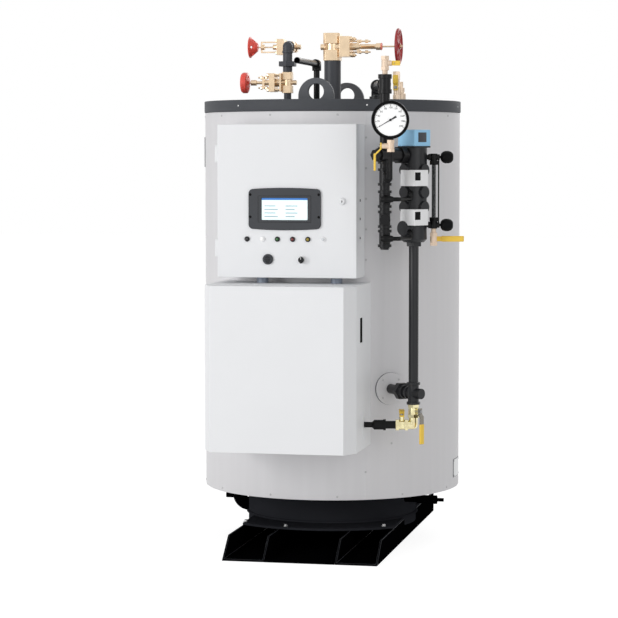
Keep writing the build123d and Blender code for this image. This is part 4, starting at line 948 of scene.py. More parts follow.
    def plates(self) -> None:
        """Shows the two bare plates on the shell's sides."""
        low, high = self.plate_low, self.plate_high
        angle, width = self.plate_angle, self.plate_width
        inset = self.plate_rim_height
        rim = Mesher()
        self.sheet(rim, angle, width, low, high, self.plate_rim_proud)
        rim.piece("plate_frame", Body.BOILER, DARK_PAINT)
        plate = Mesher()
        inner_width = width - 2 * self.plate_rim
        self.sheet(plate, angle, inner_width, low + inset, high - inset, self.plate_proud)
        plate.piece("bare_plate", Body.BOILER, BRUSHED_STEEL)
        rivets = Mesher()
        for side in (-self.plate_rivet_share, self.plate_rivet_share):
            for height in (low + self.plate_rivet_edge, high - self.plate_rivet_edge):
                spot = self.on_shell(angle + side * width, height, self.radius + self.plate_proud)
                self.rivet.add(rivets, spot)
        rivets.piece("plate_rivets", Body.BOILER, SCREW_ZINC)
        side_plate = Mesher()
        self.sheet(
            side_plate,
            self.side_plate_angle,
            self.side_plate_width,
            self.side_plate_low,
            self.side_plate_high,
            self.side_plate_proud,
        )
        side_plate.piece("side_plate", Body.BOILER, PLATE_GREY)

    def build(self) -> None:
        """Builds and dresses the shell."""
        jacket = (self.vessel_radius, self.radius)
        band = (self.head_radius, self.band_radius)
        self.ring("jacket_skin", "boiler_jacket", jacket, SHELL_PAINT)
        self.ring("band_skin", "top_band", band, DARK_PAINT)
        self.seam()
        self.screws()
        self.flange()
        self.plates()
        softened("top_head", DARK_PAINT, width=2.0)
        # The lugs take a lighter copy of the dark paint, as painted light.
        for node in ("lifting_lug_front", "lifting_lug_rear"):
            softened(node, LUG_PAINT_LIGHTENED, width=1.2)
        softened("bottom_head", SKID_PAINT)
        softened("wall_flange", SHELL_PAINT)
        softened("flue_outlet", GALVANISED)


@dataclass
class Skid:
    """Two channel rails with the floor between them, the base plate and the skirt."""

    bolt: HexBolt = field(default_factory=lambda: HexBolt(0.011, 0.006))
    bolt_spots: Profile = ((-0.246, -0.333), (-0.086, -0.405), (0.249, -0.333))
    plate_top: float = 0.083
    skirt_radius: float = 0.305
    bead: float = 0.007
    bead_ripples: int = 240
    bead_ripple: float = 0.16
    bead_root: float = -0.002
    bead_brow: float = 0.62

    def bolts(self) -> None:
        """Shows the bolts that hold the base plate to the rails."""
        mesher = Mesher()
        for x, y in self.bolt_spots:
            for side in (-1, 1):
                spot = Vector((x * side, y * side, self.plate_top))
                self.bolt.add(mesher, placed(spot, UP))
        mesher.piece("base_bolts", Body.BOILER, BRIGHT_STEEL)

    def weld(self) -> None:
        """Shows the weld bead round the skirt's foot."""
        mesher = Mesher()
        ripples = self.bead_ripples
        root = self.bead_root
        rings = []
        for step in range(ripples):
            angle = 2 * pi * step / ripples
            size = self.bead * (1.0 + self.bead_ripple * (step % 2))
            brow = size * self.bead_brow
            ring = []
            for reach, rise in ((root, 0.0), (size, 0.0), (brow, brow), (root, size)):
                radius = self.skirt_radius + reach
                spot = Vector((radius * cos(angle), radius * sin(angle), self.plate_top + rise))
                ring.append(mesher.mesh.verts.new(spot))
            rings.append(ring)
        for step in range(ripples):
            low, high = rings[step], rings[(step + 1) % ripples]
            for side in range(len(low)):
                after = (side + 1) % len(low)
                mesher.mesh.faces.new((low[side], low[after], high[after], high[side]))
        # The bead takes the skirt's lighter paint, a painted sheen.
        mesher.piece("skirt_weld", Body.BOILER, SKIRT_PAINT_SHEEN)

    def build(self) -> None:
        """Builds and dresses the skid."""
        # The rails' rounded edges get a lighter finish, a painted highlight.
        for node in ("skid_rail_left", "skid_rail_right"):
            softened(node, SKID_PAINT, width=1.4, edge=SKID_EDGE_HIGHLIGHT)
        softened("skid_floor", SKID_PAINT, width=1.0)
        # The skirt takes a lighter copy of the skid paint, a painted sheen.
        softened("base_skirt", SKIRT_PAINT_SHEEN, width=1.2)
        softened("bottom_drains", SKID_PAINT)
        self.bolts()
        self.weld()


@dataclass
class Panel:
    """Control enclosure with its door and what the door carries."""

    lamp_colours: tuple[tuple[str, Rgb, float], ...] = (
        ("lamp_dark", (24, 25, 28), 0.0),
        ("lamp_white", (250, 250, 248), 0.2),
        ("lamp_green", (26, 96, 30), 0.03),
        ("lamp_red", (116, 12, 14), 0.03),
        ("lamp_amber", (152, 132, 30), 0.03),
        ("lamp_clear", (222, 225, 228), 0.08),
    )
    pale_rings: tuple[str, ...] = ("lamp_white", "lamp_clear")
    lamp_radius: float = 0.009
    lamp_steps: int = 24
    lamp_shares: Profile = (
        (1.0, 0.0),
        (1.0, 0.25),
        (0.88, 0.5),
        (0.68, 0.5),
        (0.62, 0.3),
        (0.0, 0.3),
    )
    lens_radius: float = 0.0052
    lens_parts: int = 4
    lens_foot: float = 0.28
    lens_brow: float = 0.6
    lens_rise: float = 0.4
    bezel_screw_x: tuple[float, float] = (-0.1725, 0.0655)
    bezel_screw_z: tuple[float, float] = (1.244, 1.168)
    side_screw_y: float = -0.5
    side_screw_z: tuple[float, ...] = (1.224, 1.161, 1.096)
    frame_share: tuple[float, float] = (1.15, 1.2)
    frame_line: float = 0.0016
    gasket: float = 0.004
    gasket_inset: float = 0.022
    gasket_round: float = 0.25
    line_depth: float = 0.5
    line_round: float = 0.1
    screw_sunk: float = 0.0006
    display_lift: float = 0.0004
    header_bottom: float = 0.91
    mark_rows: int = 4
    mark_top: float = 0.62
    mark_pitch: float = 0.16
    mark_height: float = 0.04
    mark_columns: tuple[tuple[float, float, float], ...] = ((0.06, 0.3, 0.05), (0.52, 0.78, -0.06))
    key_slot: tuple[float, float, float] = (0.0022, 0.009, 0.0006)
    key_round: float = 0.0002
    key_steps: int = 20
    horn_slots: int = 5
    horn_pitch: float = 0.0055
    horn_width: float = 0.022
    horn_taper: float = 0.005
    horn_slot: tuple[float, float] = (0.0008, 0.0022)
    pointer_size: tuple[float, float] = (0.0016, 0.0008)
    pointer_share: float = 0.7
    fine_round: float = 0.0003
    screw: PanScrew = field(default_factory=lambda: PanScrew(0.0046, 0.002))

    def __post_init__(self) -> None:
        """Reads the door's face and the lamps' row from the frame."""
        self.door_low, self.door_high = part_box("control_door")
        self.enclosure_low, self.enclosure_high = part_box("control_enclosure")
        self.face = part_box("screen_bezel")[1].y
        low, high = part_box("pilot_lamps")
        self.lamp_first = low.x + self.lamp_radius
        self.lamp_last = high.x - self.lamp_radius
        self.lamp_height = (low.z + high.z) / 2
        self.lamp_front = low.y

    def on_door(self, x: float, z: float, lift: float = 0.0) -> Matrix:
        """Frame on the door's face that looks to the front."""
        return placed(Vector((x, self.face - lift, z)), Vector((0, -1, 0)))

    def lamps(self) -> None:
        """Shows the lamps' rings and coloured lenses."""
        dark_rings, pale_rings = Mesher(), Mesher()
        count = len(self.lamp_colours)
        pitch = (self.lamp_last - self.lamp_first) / (count - 1)
        depth = self.face - self.lamp_front
        lens_radius = self.lens_radius
        for step, (name, colour, glow) in enumerate(self.lamp_colours):
            place = self.on_door(self.lamp_first + step * pitch, self.lamp_height)
            rings = pale_rings if name in self.pale_rings else dark_rings
            rings.turn(place, scaled(self.lamp_shares, self.lamp_radius, depth), self.lamp_steps)
            dome = Mesher()
            brow = depth * self.lens_brow
            profile = [(lens_radius, depth * self.lens_foot), (lens_radius, brow)]
            for part in range(1, self.lens_parts + 1):
                angle = pi / 2 * part / self.lens_parts
                rise = depth * self.lens_rise * sin(angle)
                profile.append((lens_radius * cos(angle), brow + rise))
            profile[-1] = (0.0, depth)
            dome.turn(place, profile, self.lamp_steps)
            dome.piece(name, Body.DOOR, lens(name, colour, glow))
        dark_rings.piece("lamp_rings", Body.DOOR, BLACK_PLASTIC, ("pilot_lamps",))
        pale_rings.piece("pale_lamp_rings", Body.DOOR, PROBE_WHITE)

    def screen(self) -> None:
        """Shows the display's picture, plain blocks on a pale ground."""
        low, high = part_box("display_screen")
        width, height = high.x - low.x, high.z - low.z
        depth = self.display_lift

        def tile(mesher: Mesher, left: float, right: float, bottom: float, top: float) -> None:
            """Adds a thin tile, placed by shares of the display."""
            middle = Vector(
                (
                    low.x + width * (left + right) / 2,
                    low.y - depth / 2,
                    low.z + height * (bottom + top) / 2,
                )
            )
            size = (width * (right - left), depth, height * (top - bottom))
            mesher.block(Matrix.Translation(middle), size, 0.0)

        softened("display_screen", DISPLAY_PALE, width=0.3, body=Body.DOOR)
        header = Mesher()
        tile(header, 0.0, 1.0, self.header_bottom, 1.0)
        header.piece("display_header", Body.DOOR, DISPLAY_BLUE)
        marks = Mesher()
        for row in range(self.mark_rows):
            bottom = self.mark_top - row * self.mark_pitch
            for left, right, change in self.mark_columns:
                tile(marks, left, right + change * (row % 2), bottom, bottom + self.mark_height)
        marks.piece("display_marks", Body.DOOR, DISPLAY_INK)

    def screws(self) -> None:
        """Shows the bezel's corner screws and the screws in the enclosure's side."""
        front = self.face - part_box("screen_bezel")[0].y
        corners = Mesher()
        for x in self.bezel_screw_x:
            for z in self.bezel_screw_z:
                self.screw.add(corners, self.on_door(x, z, front - self.screw_sunk))
        corners.piece("bezel_screws", Body.DOOR, DEEP_BLACK)
        side = Mesher()
        for z in self.side_screw_z:
            spot = Vector((self.enclosure_high.x, self.side_screw_y, z))
            self.screw.add(side, placed(spot, Vector((1, 0, 0))))
        side.piece("enclosure_screws", Body.BOILER, BLACK_PLASTIC)

    def seal(self) -> None:
        """Shows the rubber seal round the enclosure's mouth."""
        edge = self.enclosure_low.y
        inset = self.gasket_inset
        left, right = self.door_low.x + inset, self.door_high.x - inset
        low, high = self.enclosure_low.z + inset, self.enclosure_high.z - inset
        left = max(left, self.enclosure_high.x - (self.door_high.x - self.door_low.x) + inset)
        mesher = Mesher()
        thick = self.gasket
        soft = thick * self.gasket_round
        middle_x, middle_z = (left + right) / 2, (low + high) / 2
        for z in (low, high):
            place = Matrix.Translation((middle_x, edge - thick / 2, z))
            mesher.block(place, (right - left + thick, thick, thick), soft)
        for x in (left, right):
            place = Matrix.Translation((x, edge - thick / 2, middle_z))
            mesher.block(place, (thick, thick, high - low - thick), soft)
        mesher.piece("enclosure_seal", Body.BOILER, RUBBER)

    def bezel(self) -> None:
        """Shows the display's bezel with the thin line round its window."""
        softened("screen_bezel", BEZEL_GREY, width=2.0, body=Body.DOOR)
        low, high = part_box("display_screen")
        middle_x, middle_z = (low.x + high.x) / 2, (low.z + high.z) / 2
        wide = (high.x - low.x) * self.frame_share[0]
        tall = (high.z - low.z) * self.frame_share[1]
        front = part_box("screen_bezel")[0].y
        line = self.frame_line
        deep, soft = line * self.line_depth, line * self.line_round
        mesher = Mesher()
        for side in (-1, 1):
            level = Matrix.Translation((middle_x, front, middle_z + side * tall / 2))
            mesher.block(level, (wide + line, deep, line), soft)
            upright = Matrix.Translation((middle_x + side * wide / 2, front, middle_z))
            mesher.block(upright, (line, deep, tall - line), soft)
        mesher.piece("bezel_line", Body.DOOR, BLACK_PLASTIC)

    def latch(self) -> None:
        """Shows the door's painted latch with its key slot."""
        softened("door_latch", PANEL_PAINT, width=1.6, body=Body.DOOR)
        low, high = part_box("door_latch")
        mesher = Mesher()
        place = Matrix.Translation(((low.x + high.x) / 2, low.y, (low.z + high.z) / 2))
        width, height, depth = self.key_slot
        mesher.block(place, (width, depth, height), self.key_round)
        front = placed(place.translation, Vector((0, -1, 0)))
        profile = ((width, -depth / 2), (width, depth / 2), (0, depth / 2))
        mesher.turn(front, profile, self.key_steps)
        mesher.piece("latch_key_slot", Body.DOOR, WINDOW_GREY)

    def horn(self) -> None:
        """Shows the slots of the alarm horn."""
        low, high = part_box("alarm_horn")
        middle_x, middle_z = (low.x + high.x) / 2, (low.z + high.z) / 2
        mesher = Mesher()
        deep, tall = self.horn_slot
        for step in range(self.horn_slots):
            off = step - self.horn_slots // 2
            z = middle_z + off * self.horn_pitch
            width = self.horn_width - abs(off) * self.horn_taper
            place = Matrix.Translation((middle_x, low.y, z))
            mesher.block(place, (width, deep, tall), self.fine_round)
        mesher.piece("horn_slots", Body.DOOR, BLACK_PLASTIC)

    def pointer(self) -> None:
        """Shows the white pointer line on the selector's grip."""
        low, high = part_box("selector_knob")
        origin, _ = pivot(Body.SELECTOR)
        mesher = Mesher()
        place = Matrix.Translation((origin.x, low.y, (origin.z + high.z) / 2))
        length = (high.z - origin.z) * self.pointer_share
        mesher.block(place, (*self.pointer_size, length), self.fine_round)
        mesher.piece("selector_pointer", Body.SELECTOR, PROBE_WHITE)

    def build(self) -> None:
        """Builds and dresses the panel."""
        softened("control_enclosure", PANEL_PAINT, width=0.6)
        softened("control_door", PANEL_PAINT, width=0.6, body=Body.DOOR)
        self.bezel()
        self.screen()
        self.lamps()
        self.screws()
        self.seal()
        softened("alarm_horn", BEZEL_GREY, width=0.8, body=Body.DOOR)
        self.horn()
        softened("selector_collar", PROBE_WHITE, width=0.6, body=Body.DOOR)
        softened("selector_knob", BLACK_PLASTIC, width=0.8, body=Body.SELECTOR)
        self.pointer()
        self.latch()
        softened("panel_conduits", CONDUIT_GREY)


@dataclass
class BurnerCover:
    """Sheet hood over the burner."""

    slot_y: tuple[float, float] = (-0.61, -0.559)
    slot_z: tuple[float, float] = (0.746, 0.83)
    cup_depth: float = 0.018
    cup_wall: float = 0.003
    cup_back_round: float = 0.001
    cup_side_round: float = 0.0008
    sheet: float = 0.003
    plate_side: float = 0.05
    plate_thickness: float = 0.0012
    plate_hole: float = 0.0108
    plate_steps: int = 48
    half_diagonal: float = 0.707
    diagonal: float = 1.414
    branch_y: float = -0.535
    branch_z: float = 0.462

    def __post_init__(self) -> None:
        """Reads the cover's box from the frame."""
        self.low, self.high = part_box("burner_cover")

    def grip(self) -> None:
        """Shows a deep black cup behind the grip slot, painted shade for the dark inside the cover.
        """
        mesher = Mesher()
        middle_y, middle_z = sum(self.slot_y) / 2, sum(self.slot_z) / 2
        tall, wide = self.slot_z[1] - self.slot_z[0], self.slot_y[1] - self.slot_y[0]
        inner = self.high.x - self.sheet
        wall = self.cup_wall
        middle_x = inner - self.cup_depth / 2
        back = Matrix.Translation((inner - self.cup_depth, middle_y, middle_z))
        mesher.block(back, (wall, wide + 2 * wall, tall + 2 * wall), self.cup_back_round)
        for side in (-1, 1):
            end = Matrix.Translation((middle_x, middle_y, middle_z + side * (tall + wall) / 2))
            mesher.block(end, (self.cup_depth, wide + 2 * wall, wall), self.cup_side_round)
            flank = Matrix.Translation((middle_x, middle_y + side * (wide + wall) / 2, middle_z))
            mesher.block(flank, (self.cup_depth, wall, tall), self.cup_side_round)
        # Deep black stands in for the shade inside the slot: painted shade.
        mesher.piece("grip_shade_cup", Body.BOILER, DEEP_BLACK)

    def plate(self) -> None:
        """Shows the bare diamond plate round the branch pipe's hole."""
        mesher = Mesher()
        spot = Vector((self.high.x, self.branch_y, self.branch_z))
        place = placed(spot, Vector((1, 0, 0)), UP)
        steps = self.plate_steps
        rings: list[list] = [[], [], [], []]
        for step in range(steps):
            angle = 2 * pi * step / steps
            slant = abs(cos(angle)) + abs(sin(angle))
            reach = self.plate_side * self.half_diagonal / slant * self.diagonal
            for ring, (radius, rise) in zip(
                rings,
                (
                    (self.plate_hole, 0.0),
                    (reach, 0.0),
                    (reach, self.plate_thickness),
                    (self.plate_hole, self.plate_thickness),
                ),
            ):
                spot = Vector((radius * cos(angle), radius * sin(angle), rise))
                ring.append(mesher.mesh.verts.new(place @ spot))
        for low, high in zip(rings, rings[1:] + rings[:1]):
            for step in range(steps):
                after = (step + 1) % steps
                mesher.mesh.faces.new((low[step], low[after], high[after], high[step]))
        mesher.piece("branch_plate", Body.BOILER, PANEL_PAINT)

    def build(self) -> None:
        """Builds and dresses the cover."""
        softened("burner_cover", COVER_PAINT, width=1.0)
        self.grip()
        self.plate()


@dataclass
class WaterTrim:
    """Water column, steam tree, pressure gauge and gauge glass."""

    trim_turn: float = 11.2
    box_turn: float = 45.0
    gauge_turn: float = 3.0
    gauge_radius: float = 0.063
    dial_radius: float = 0.055
    dial_ring: float = 0.0525
    dial_depth: float = 0.0142
    dial_card: float = 0.001
    dial_steps: int = 72
    ring_rise: float = 0.0024
    ring_lean: float = 0.0008
    tick_outer: float = 0.052
    long_tick: tuple[float, float] = (0.0458, 0.0014)
    short_tick: tuple[float, float] = (0.0488, 0.0006)
    tick_lift: float = 0.0002
    tick_depth: float = 0.0004
    figure_lift: float = 0.0003
    tick_parts: int = 5
    dial_marks: int = 11
    dial_sweep: float = 240.0
    dial_step: int = 20
    figure_height: float = 0.0066
    figure_radius: float = 0.0405
    pointer_reach: float = 0.047
    pointer_tail: float = 0.022
    pointer_waist: float = 0.008
    pointer_neck: float = 0.3
    pointer_halves: tuple[float, float, float, float] = (0.0036, 0.0022, 0.0015, 0.0004)
    pointer_lift: float = 0.0012
    pointer_thickness: float = 0.0006
    hub: Profile = ((0.0042, 0), (0.0042, 0.001), (0.0034, 0.0016), (0, 0.0016))
    hub_steps: int = 24
    lens_gap: float = 0.0003
    lens_shares: tuple[float, ...] = (1.0, 1.0, 0.5, 0.0)
    lens_heights: tuple[float, ...] = (0.0166, 0.0172, 0.0176, 0.0177)
    lens_steps: int = 64
    box_face: float = 0.056
    box_window: tuple[float, float] = (0.0265, 0.027)
    box_window_back: float = 0.0415
    box_window_drop: float = 0.0216
    control_face: float = 0.0395
    control_window: tuple[float, float] = (0.04, 0.0325)
    control_window_back: float = 0.002
    control_window_rise: float = 0.002
    window_depth: float = 0.0016
    window_round: float = 0.0005
    box_shorter: float = 0.001
    glass_wall: float = 0.0018
    glass_steps: int = 32
    core_gap: float = 0.0003
    core_end: float = 0.002
    spindle_reach: float = 0.004
    knob_nut: tuple[float, float] = (0.007, 0.0016)
    knob_nut_sunk: float = 0.0008

    def __post_init__(self) -> None:
        """Reads the column's and the gauge's places from the frame."""
        low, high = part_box("level_control")
        self.column = Vector(((low.x + high.x) / 2, (low.y + high.y) / 2, 0))
        self.control_middle = (low.z + high.z) / 2
        self.box_low, self.box_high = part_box("probe_boxes")
        low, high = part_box("pressure_gauge")
        middle_z = high.z - self.gauge_radius
        self.gauge = Vector(((low.x + high.x) / 2, (low.y + high.y) / 2, middle_z))
        self.right_way = self.trim_turn + self.box_turn

    def on_dial(self, angle: float, radius: float, lift: float) -> Vector:
        """Point on the dial at a clock angle, in degrees from the top, and a radius."""
        turn = radians(angle)
        across = heading(self.gauge_turn + 90) * (radius * sin(turn))
        up = Vector((0, 0, radius * cos(turn)))
        return self.gauge + across + up + heading(self.gauge_turn) * lift

    def dial_angle(self, mark: float) -> float:
        """Clock angle of a mark on the dial."""
        return self.dial_sweep * (mark / (self.dial_marks - 1) - 0.5)

    def dial(self) -> None:
        """Shows the gauge's dial with its ticks and figures."""
        way = heading(self.gauge_turn)
        face = placed(self.gauge, way, heading(self.gauge_turn + 90))
        lift = self.dial_depth
        card = Mesher()
        edge = self.dial_radius
        profile = ((edge, lift - self.dial_card), (edge, lift), (0.0, lift))
        card.turn(face, profile, self.dial_steps)
        # The dial card glows a little, as painted light.
        card.piece("gauge_dial", Body.BOILER, GLOWING_DIAL_WHITE)
        ring = Mesher()
        inner, top = self.dial_ring, lift + self.ring_rise
        profile = ((inner, lift), (edge, lift), (edge, top), (inner + self.ring_lean, top))
        ring.turn(face, profile, self.dial_steps, closed=True)
        ring.piece("gauge_ring", Body.BOILER, GAUGE_BLACK)
        ink = Mesher()
        parts = self.tick_parts
        outer = self.tick_outer
        for step in range((self.dial_marks - 1) * parts + 1):
            angle = self.dial_angle(step / parts)
            inner, width = self.short_tick if step % parts else self.long_tick
            middle = self.on_dial(angle, (inner + outer) / 2, lift + self.tick_lift)
            outward = self.on_dial(angle, 1.0, 0.0) - self.on_dial(angle, 0.0, 0.0)
            place = placed(middle, way, outward)
            ink.block(place, (outer - inner, width, self.tick_depth), 0.0)
        for mark in range(self.dial_marks):
            spot = self.on_dial(self.dial_angle(mark), self.figure_radius, lift + self.figure_lift)
            place = placed(spot, way, heading(self.gauge_turn + 90))
            ink.stamp(place, str(mark * self.dial_step), self.figure_height)
        ink.piece("dial_figures", Body.BOILER, DIAL_BLACK)

    def needle(self) -> None:
        """Shows the gauge's pointer, its hub and the lens."""
        way = heading(self.gauge_turn)
        outward = self.on_dial(self.dial_angle(0), 1.0, 0.0) - self.gauge
        place = placed(self.gauge + way * (self.dial_depth + self.pointer_lift), way, outward)
        needle = Mesher()
        tail, reach = self.pointer_tail, self.pointer_reach
        ends = (-tail, -tail * self.pointer_neck, self.pointer_waist, reach)
        half = list(zip(ends, self.pointer_halves))
        outline = [(x, -y) for x, y in half] + half[::-1]
        needle.plate(place, outline, self.pointer_thickness)
        needle.turn(place, self.hub, self.hub_steps)
        needle.piece("gauge_needle", Body.BOILER, DIAL_BLACK)
        glass = Mesher()
        face = placed(self.gauge, way)
        edge = self.dial_radius - self.lens_gap
        profile = [(edge * share, rise) for share, rise in zip(self.lens_shares, self.lens_heights)]
        glass.turn(face, profile, self.lens_steps)
        glass.piece("gauge_lens", Body.BOILER, LENS_GLASS)

    def window(
        self,
        name: str,
        face: float,
        back: float,
        height: float,
        size: tuple[float, float],
        look: Finish,
    ) -> None:
        """Shows a window on the right face of one of the column's boxes.

        Args:
            name: Name of the piece.
            face: How far the face stands from the column's axis.
            back: How far the window's middle lies towards the front corner.
            height: Height of its middle.
            size: Its width and height.
            look: Its finish.
        """
        way = heading(self.right_way)
        shift = heading(self.right_way + 90) * back
        spot = self.column + way * face - shift + Vector((0, 0, height))
        place = placed(spot, way, UP)
        wide, tall = size
        mesher = Mesher()
        mesher.block(place, (tall, wide, self.window_depth), self.window_round)
        mesher.piece(name, Body.BOILER, look)

    def windows(self) -> None:
        """Shows the windows of the probe boxes and the control box."""
        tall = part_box("level_control")[1].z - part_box("level_control")[0].z
        upper = self.box_high.z - self.box_window_drop
        lower = self.box_low.z + (tall - self.box_shorter) - self.box_window_drop
        face, back, size = self.box_face, self.box_window_back, self.box_window
        for name, height in (("upper_probe_window", upper), ("lower_probe_window", lower)):
            self.window(name, face, back, height, size, DEEP_BLACK)
        self.window(
            "control_window",
            self.control_face,
            self.control_window_back,
            self.control_middle + self.control_window_rise,
            self.control_window,
            WINDOW_GREY,
        )

    def glass(self) -> None:
        """Shows the gauge glass as a tube round its dark core."""
        low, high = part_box("gauge_glass")
        middle = Vector(((low.x + high.x) / 2, (low.y + high.y) / 2, 0))
        radius = (high.x - low.x) / 2
        place = Matrix.Translation(middle)
        bore = radius - self.glass_wall
        tube = Mesher()
        profile = ((bore, low.z), (radius, low.z), (radius, high.z), (bore, high.z))
        tube.turn(place, profile, self.glass_steps, closed=True)
        tube.piece("glass_tube", Body.BOILER, CLEAR_GLASS, ("gauge_glass",))
        core = Mesher()
        inset = bore - self.core_gap
        levels = (low.z, low.z + self.core_end, high.z - self.core_end, high.z)
        wall = [(inset, level) for level in levels]
        core.turn(place, [(0, low.z), *wall, (0, high.z)], self.glass_steps)
        core.piece("glass_core", Body.BOILER, DARK_GLASS)

    def knobs(self) -> None:
        """Shows the cocks' knobs with the nuts on their spindles."""
        cocks = (("cock_knob_upper", Body.UPPER_COCK), ("cock_knob_lower", Body.LOWER_COCK))
        for node, body in cocks:
            softened(node, DEEP_BLACK, width=1.6, body=body)
            origin, way = pivot(body)
            end = crown(node, origin, way, self.spindle_reach)
            mesher = Mesher()
            mesher.hexagon(placed(origin + way * (end - self.knob_nut_sunk), way), *self.knob_nut)
            mesher.piece(node + "_nut", body, SCREW_ZINC)

    def build(self) -> None:
        """Builds and dresses the trim."""
        for node in ("column_leg", "water_column", "steam_line"):
            softened(node, PIPE_IRON, width=1.0)
        softened("steam_tree", STACK_IRON, width=0.4)
        for node in ("branch_pipe", "tree_tubes", "gauge_siphon", "gauge_cocks"):
            softened(node, TREE_IRON, width=0.4)
        softened("level_control", CONTROL_BLUE, width=2.0)
        softened("probe_boxes", PROBE_WHITE, width=0.7)
        softened("pressure_gauge", GAUGE_BLACK, width=1.2)
        self.windows()
        self.dial()
        self.needle()
        self.glass()
        self.knobs()
        for node in ("gauge_valve", "glass_drain_valve"):
            softened(node, PALE_BRONZE)
        for node in ("column_drain_valve", "branch_valve"):
            softened(node, BRASS)


@dataclass
class GateTrim:
    """Bolts, studs and nuts of a gate valve, by their distance along its stem."""

    name: str
    wheel: Body
    bonnet_end: float
    bolt_spread: float
    bolt_flats: float
    bolt_height: float
    bolt_tip: float
    stud_spread: float = 0.0
    stud_radius: float = 0.003
    nuts: tuple[tuple[float, float], ...] = ()
    stud_tip: float = 0.0
    long_bolts: tuple[float, float] = (0.0, 0.0)
    long_bolt_radius: float = 0.004
    bolt_tip_share: float = 0.28
    nut_share: float = 3.6
    stud_tip_share: float = 0.95
    stud_sunk: float = 0.002
    rod_steps: int = 16
    rod_soft: float = 0.5
    rod_top: float = 0.6

    def build(self) -> None:
        """Shows the valve's fasteners."""
        origin, way = pivot(self.wheel)
        stem = placed(origin, way, UP)
        spread = self.bolt_spread
        tip_radius = self.bolt_flats * self.bolt_tip_share
        bolts = Mesher()
        for up in (-1, 1):
            for out in (-1, 1):
                corner = stem @ Matrix.Translation((up * spread, out * spread, 0))
                seat = corner @ Matrix.Translation((0, 0, self.bonnet_end))
                bolts.hexagon(seat, self.bolt_flats, self.bolt_height)
                if self.bolt_tip > self.bonnet_end + self.bolt_height:
                    self._rod(bolts, corner, self.bonnet_end, self.bolt_tip, tip_radius)
                start, end = self.long_bolts
                if end > start:
                    self._rod(bolts, corner, start, end, self.long_bolt_radius)
        bolts.piece(self.name + "_bolts", Body.BOILER, BRONZE)
        if not self.nuts:
            return
        nuts = Mesher()
        for up in (-1, 1):
            stud = stem @ Matrix.Translation((up * self.stud_spread, 0, 0))
            for start, end in self.nuts:
                seat = stud @ Matrix.Translation((0, 0, start))
                nuts.hexagon(seat, self.stud_radius * self.nut_share, end - start)
            last = self.nuts[-1][1]
            if self.stud_tip > last:
                tip_radius = self.stud_radius * self.stud_tip_share
                self._rod(nuts, stud, last - self.stud_sunk, self.stud_tip, tip_radius)
        nuts.piece(self.name + "_nuts", Body.BOILER, BRONZE)

    def _rod(
        self, mesher: Mesher, place: Matrix, start: float, end: float, radius: float
    ) -> None:
        """Adds a round-ended rod along a frame's Z axis.

        Args:
            mesher: Mesh that takes the rod.
            place: Frame of the rod.
            start: Where it starts along the axis.
            end: Where it ends.
            radius: Its radius.
        """
        brow = (radius, end - radius * self.rod_soft)
        top = (radius * self.rod_top, end)
        mesher.turn(place, ((radius, start), brow, top, (0, end)), self.rod_steps)


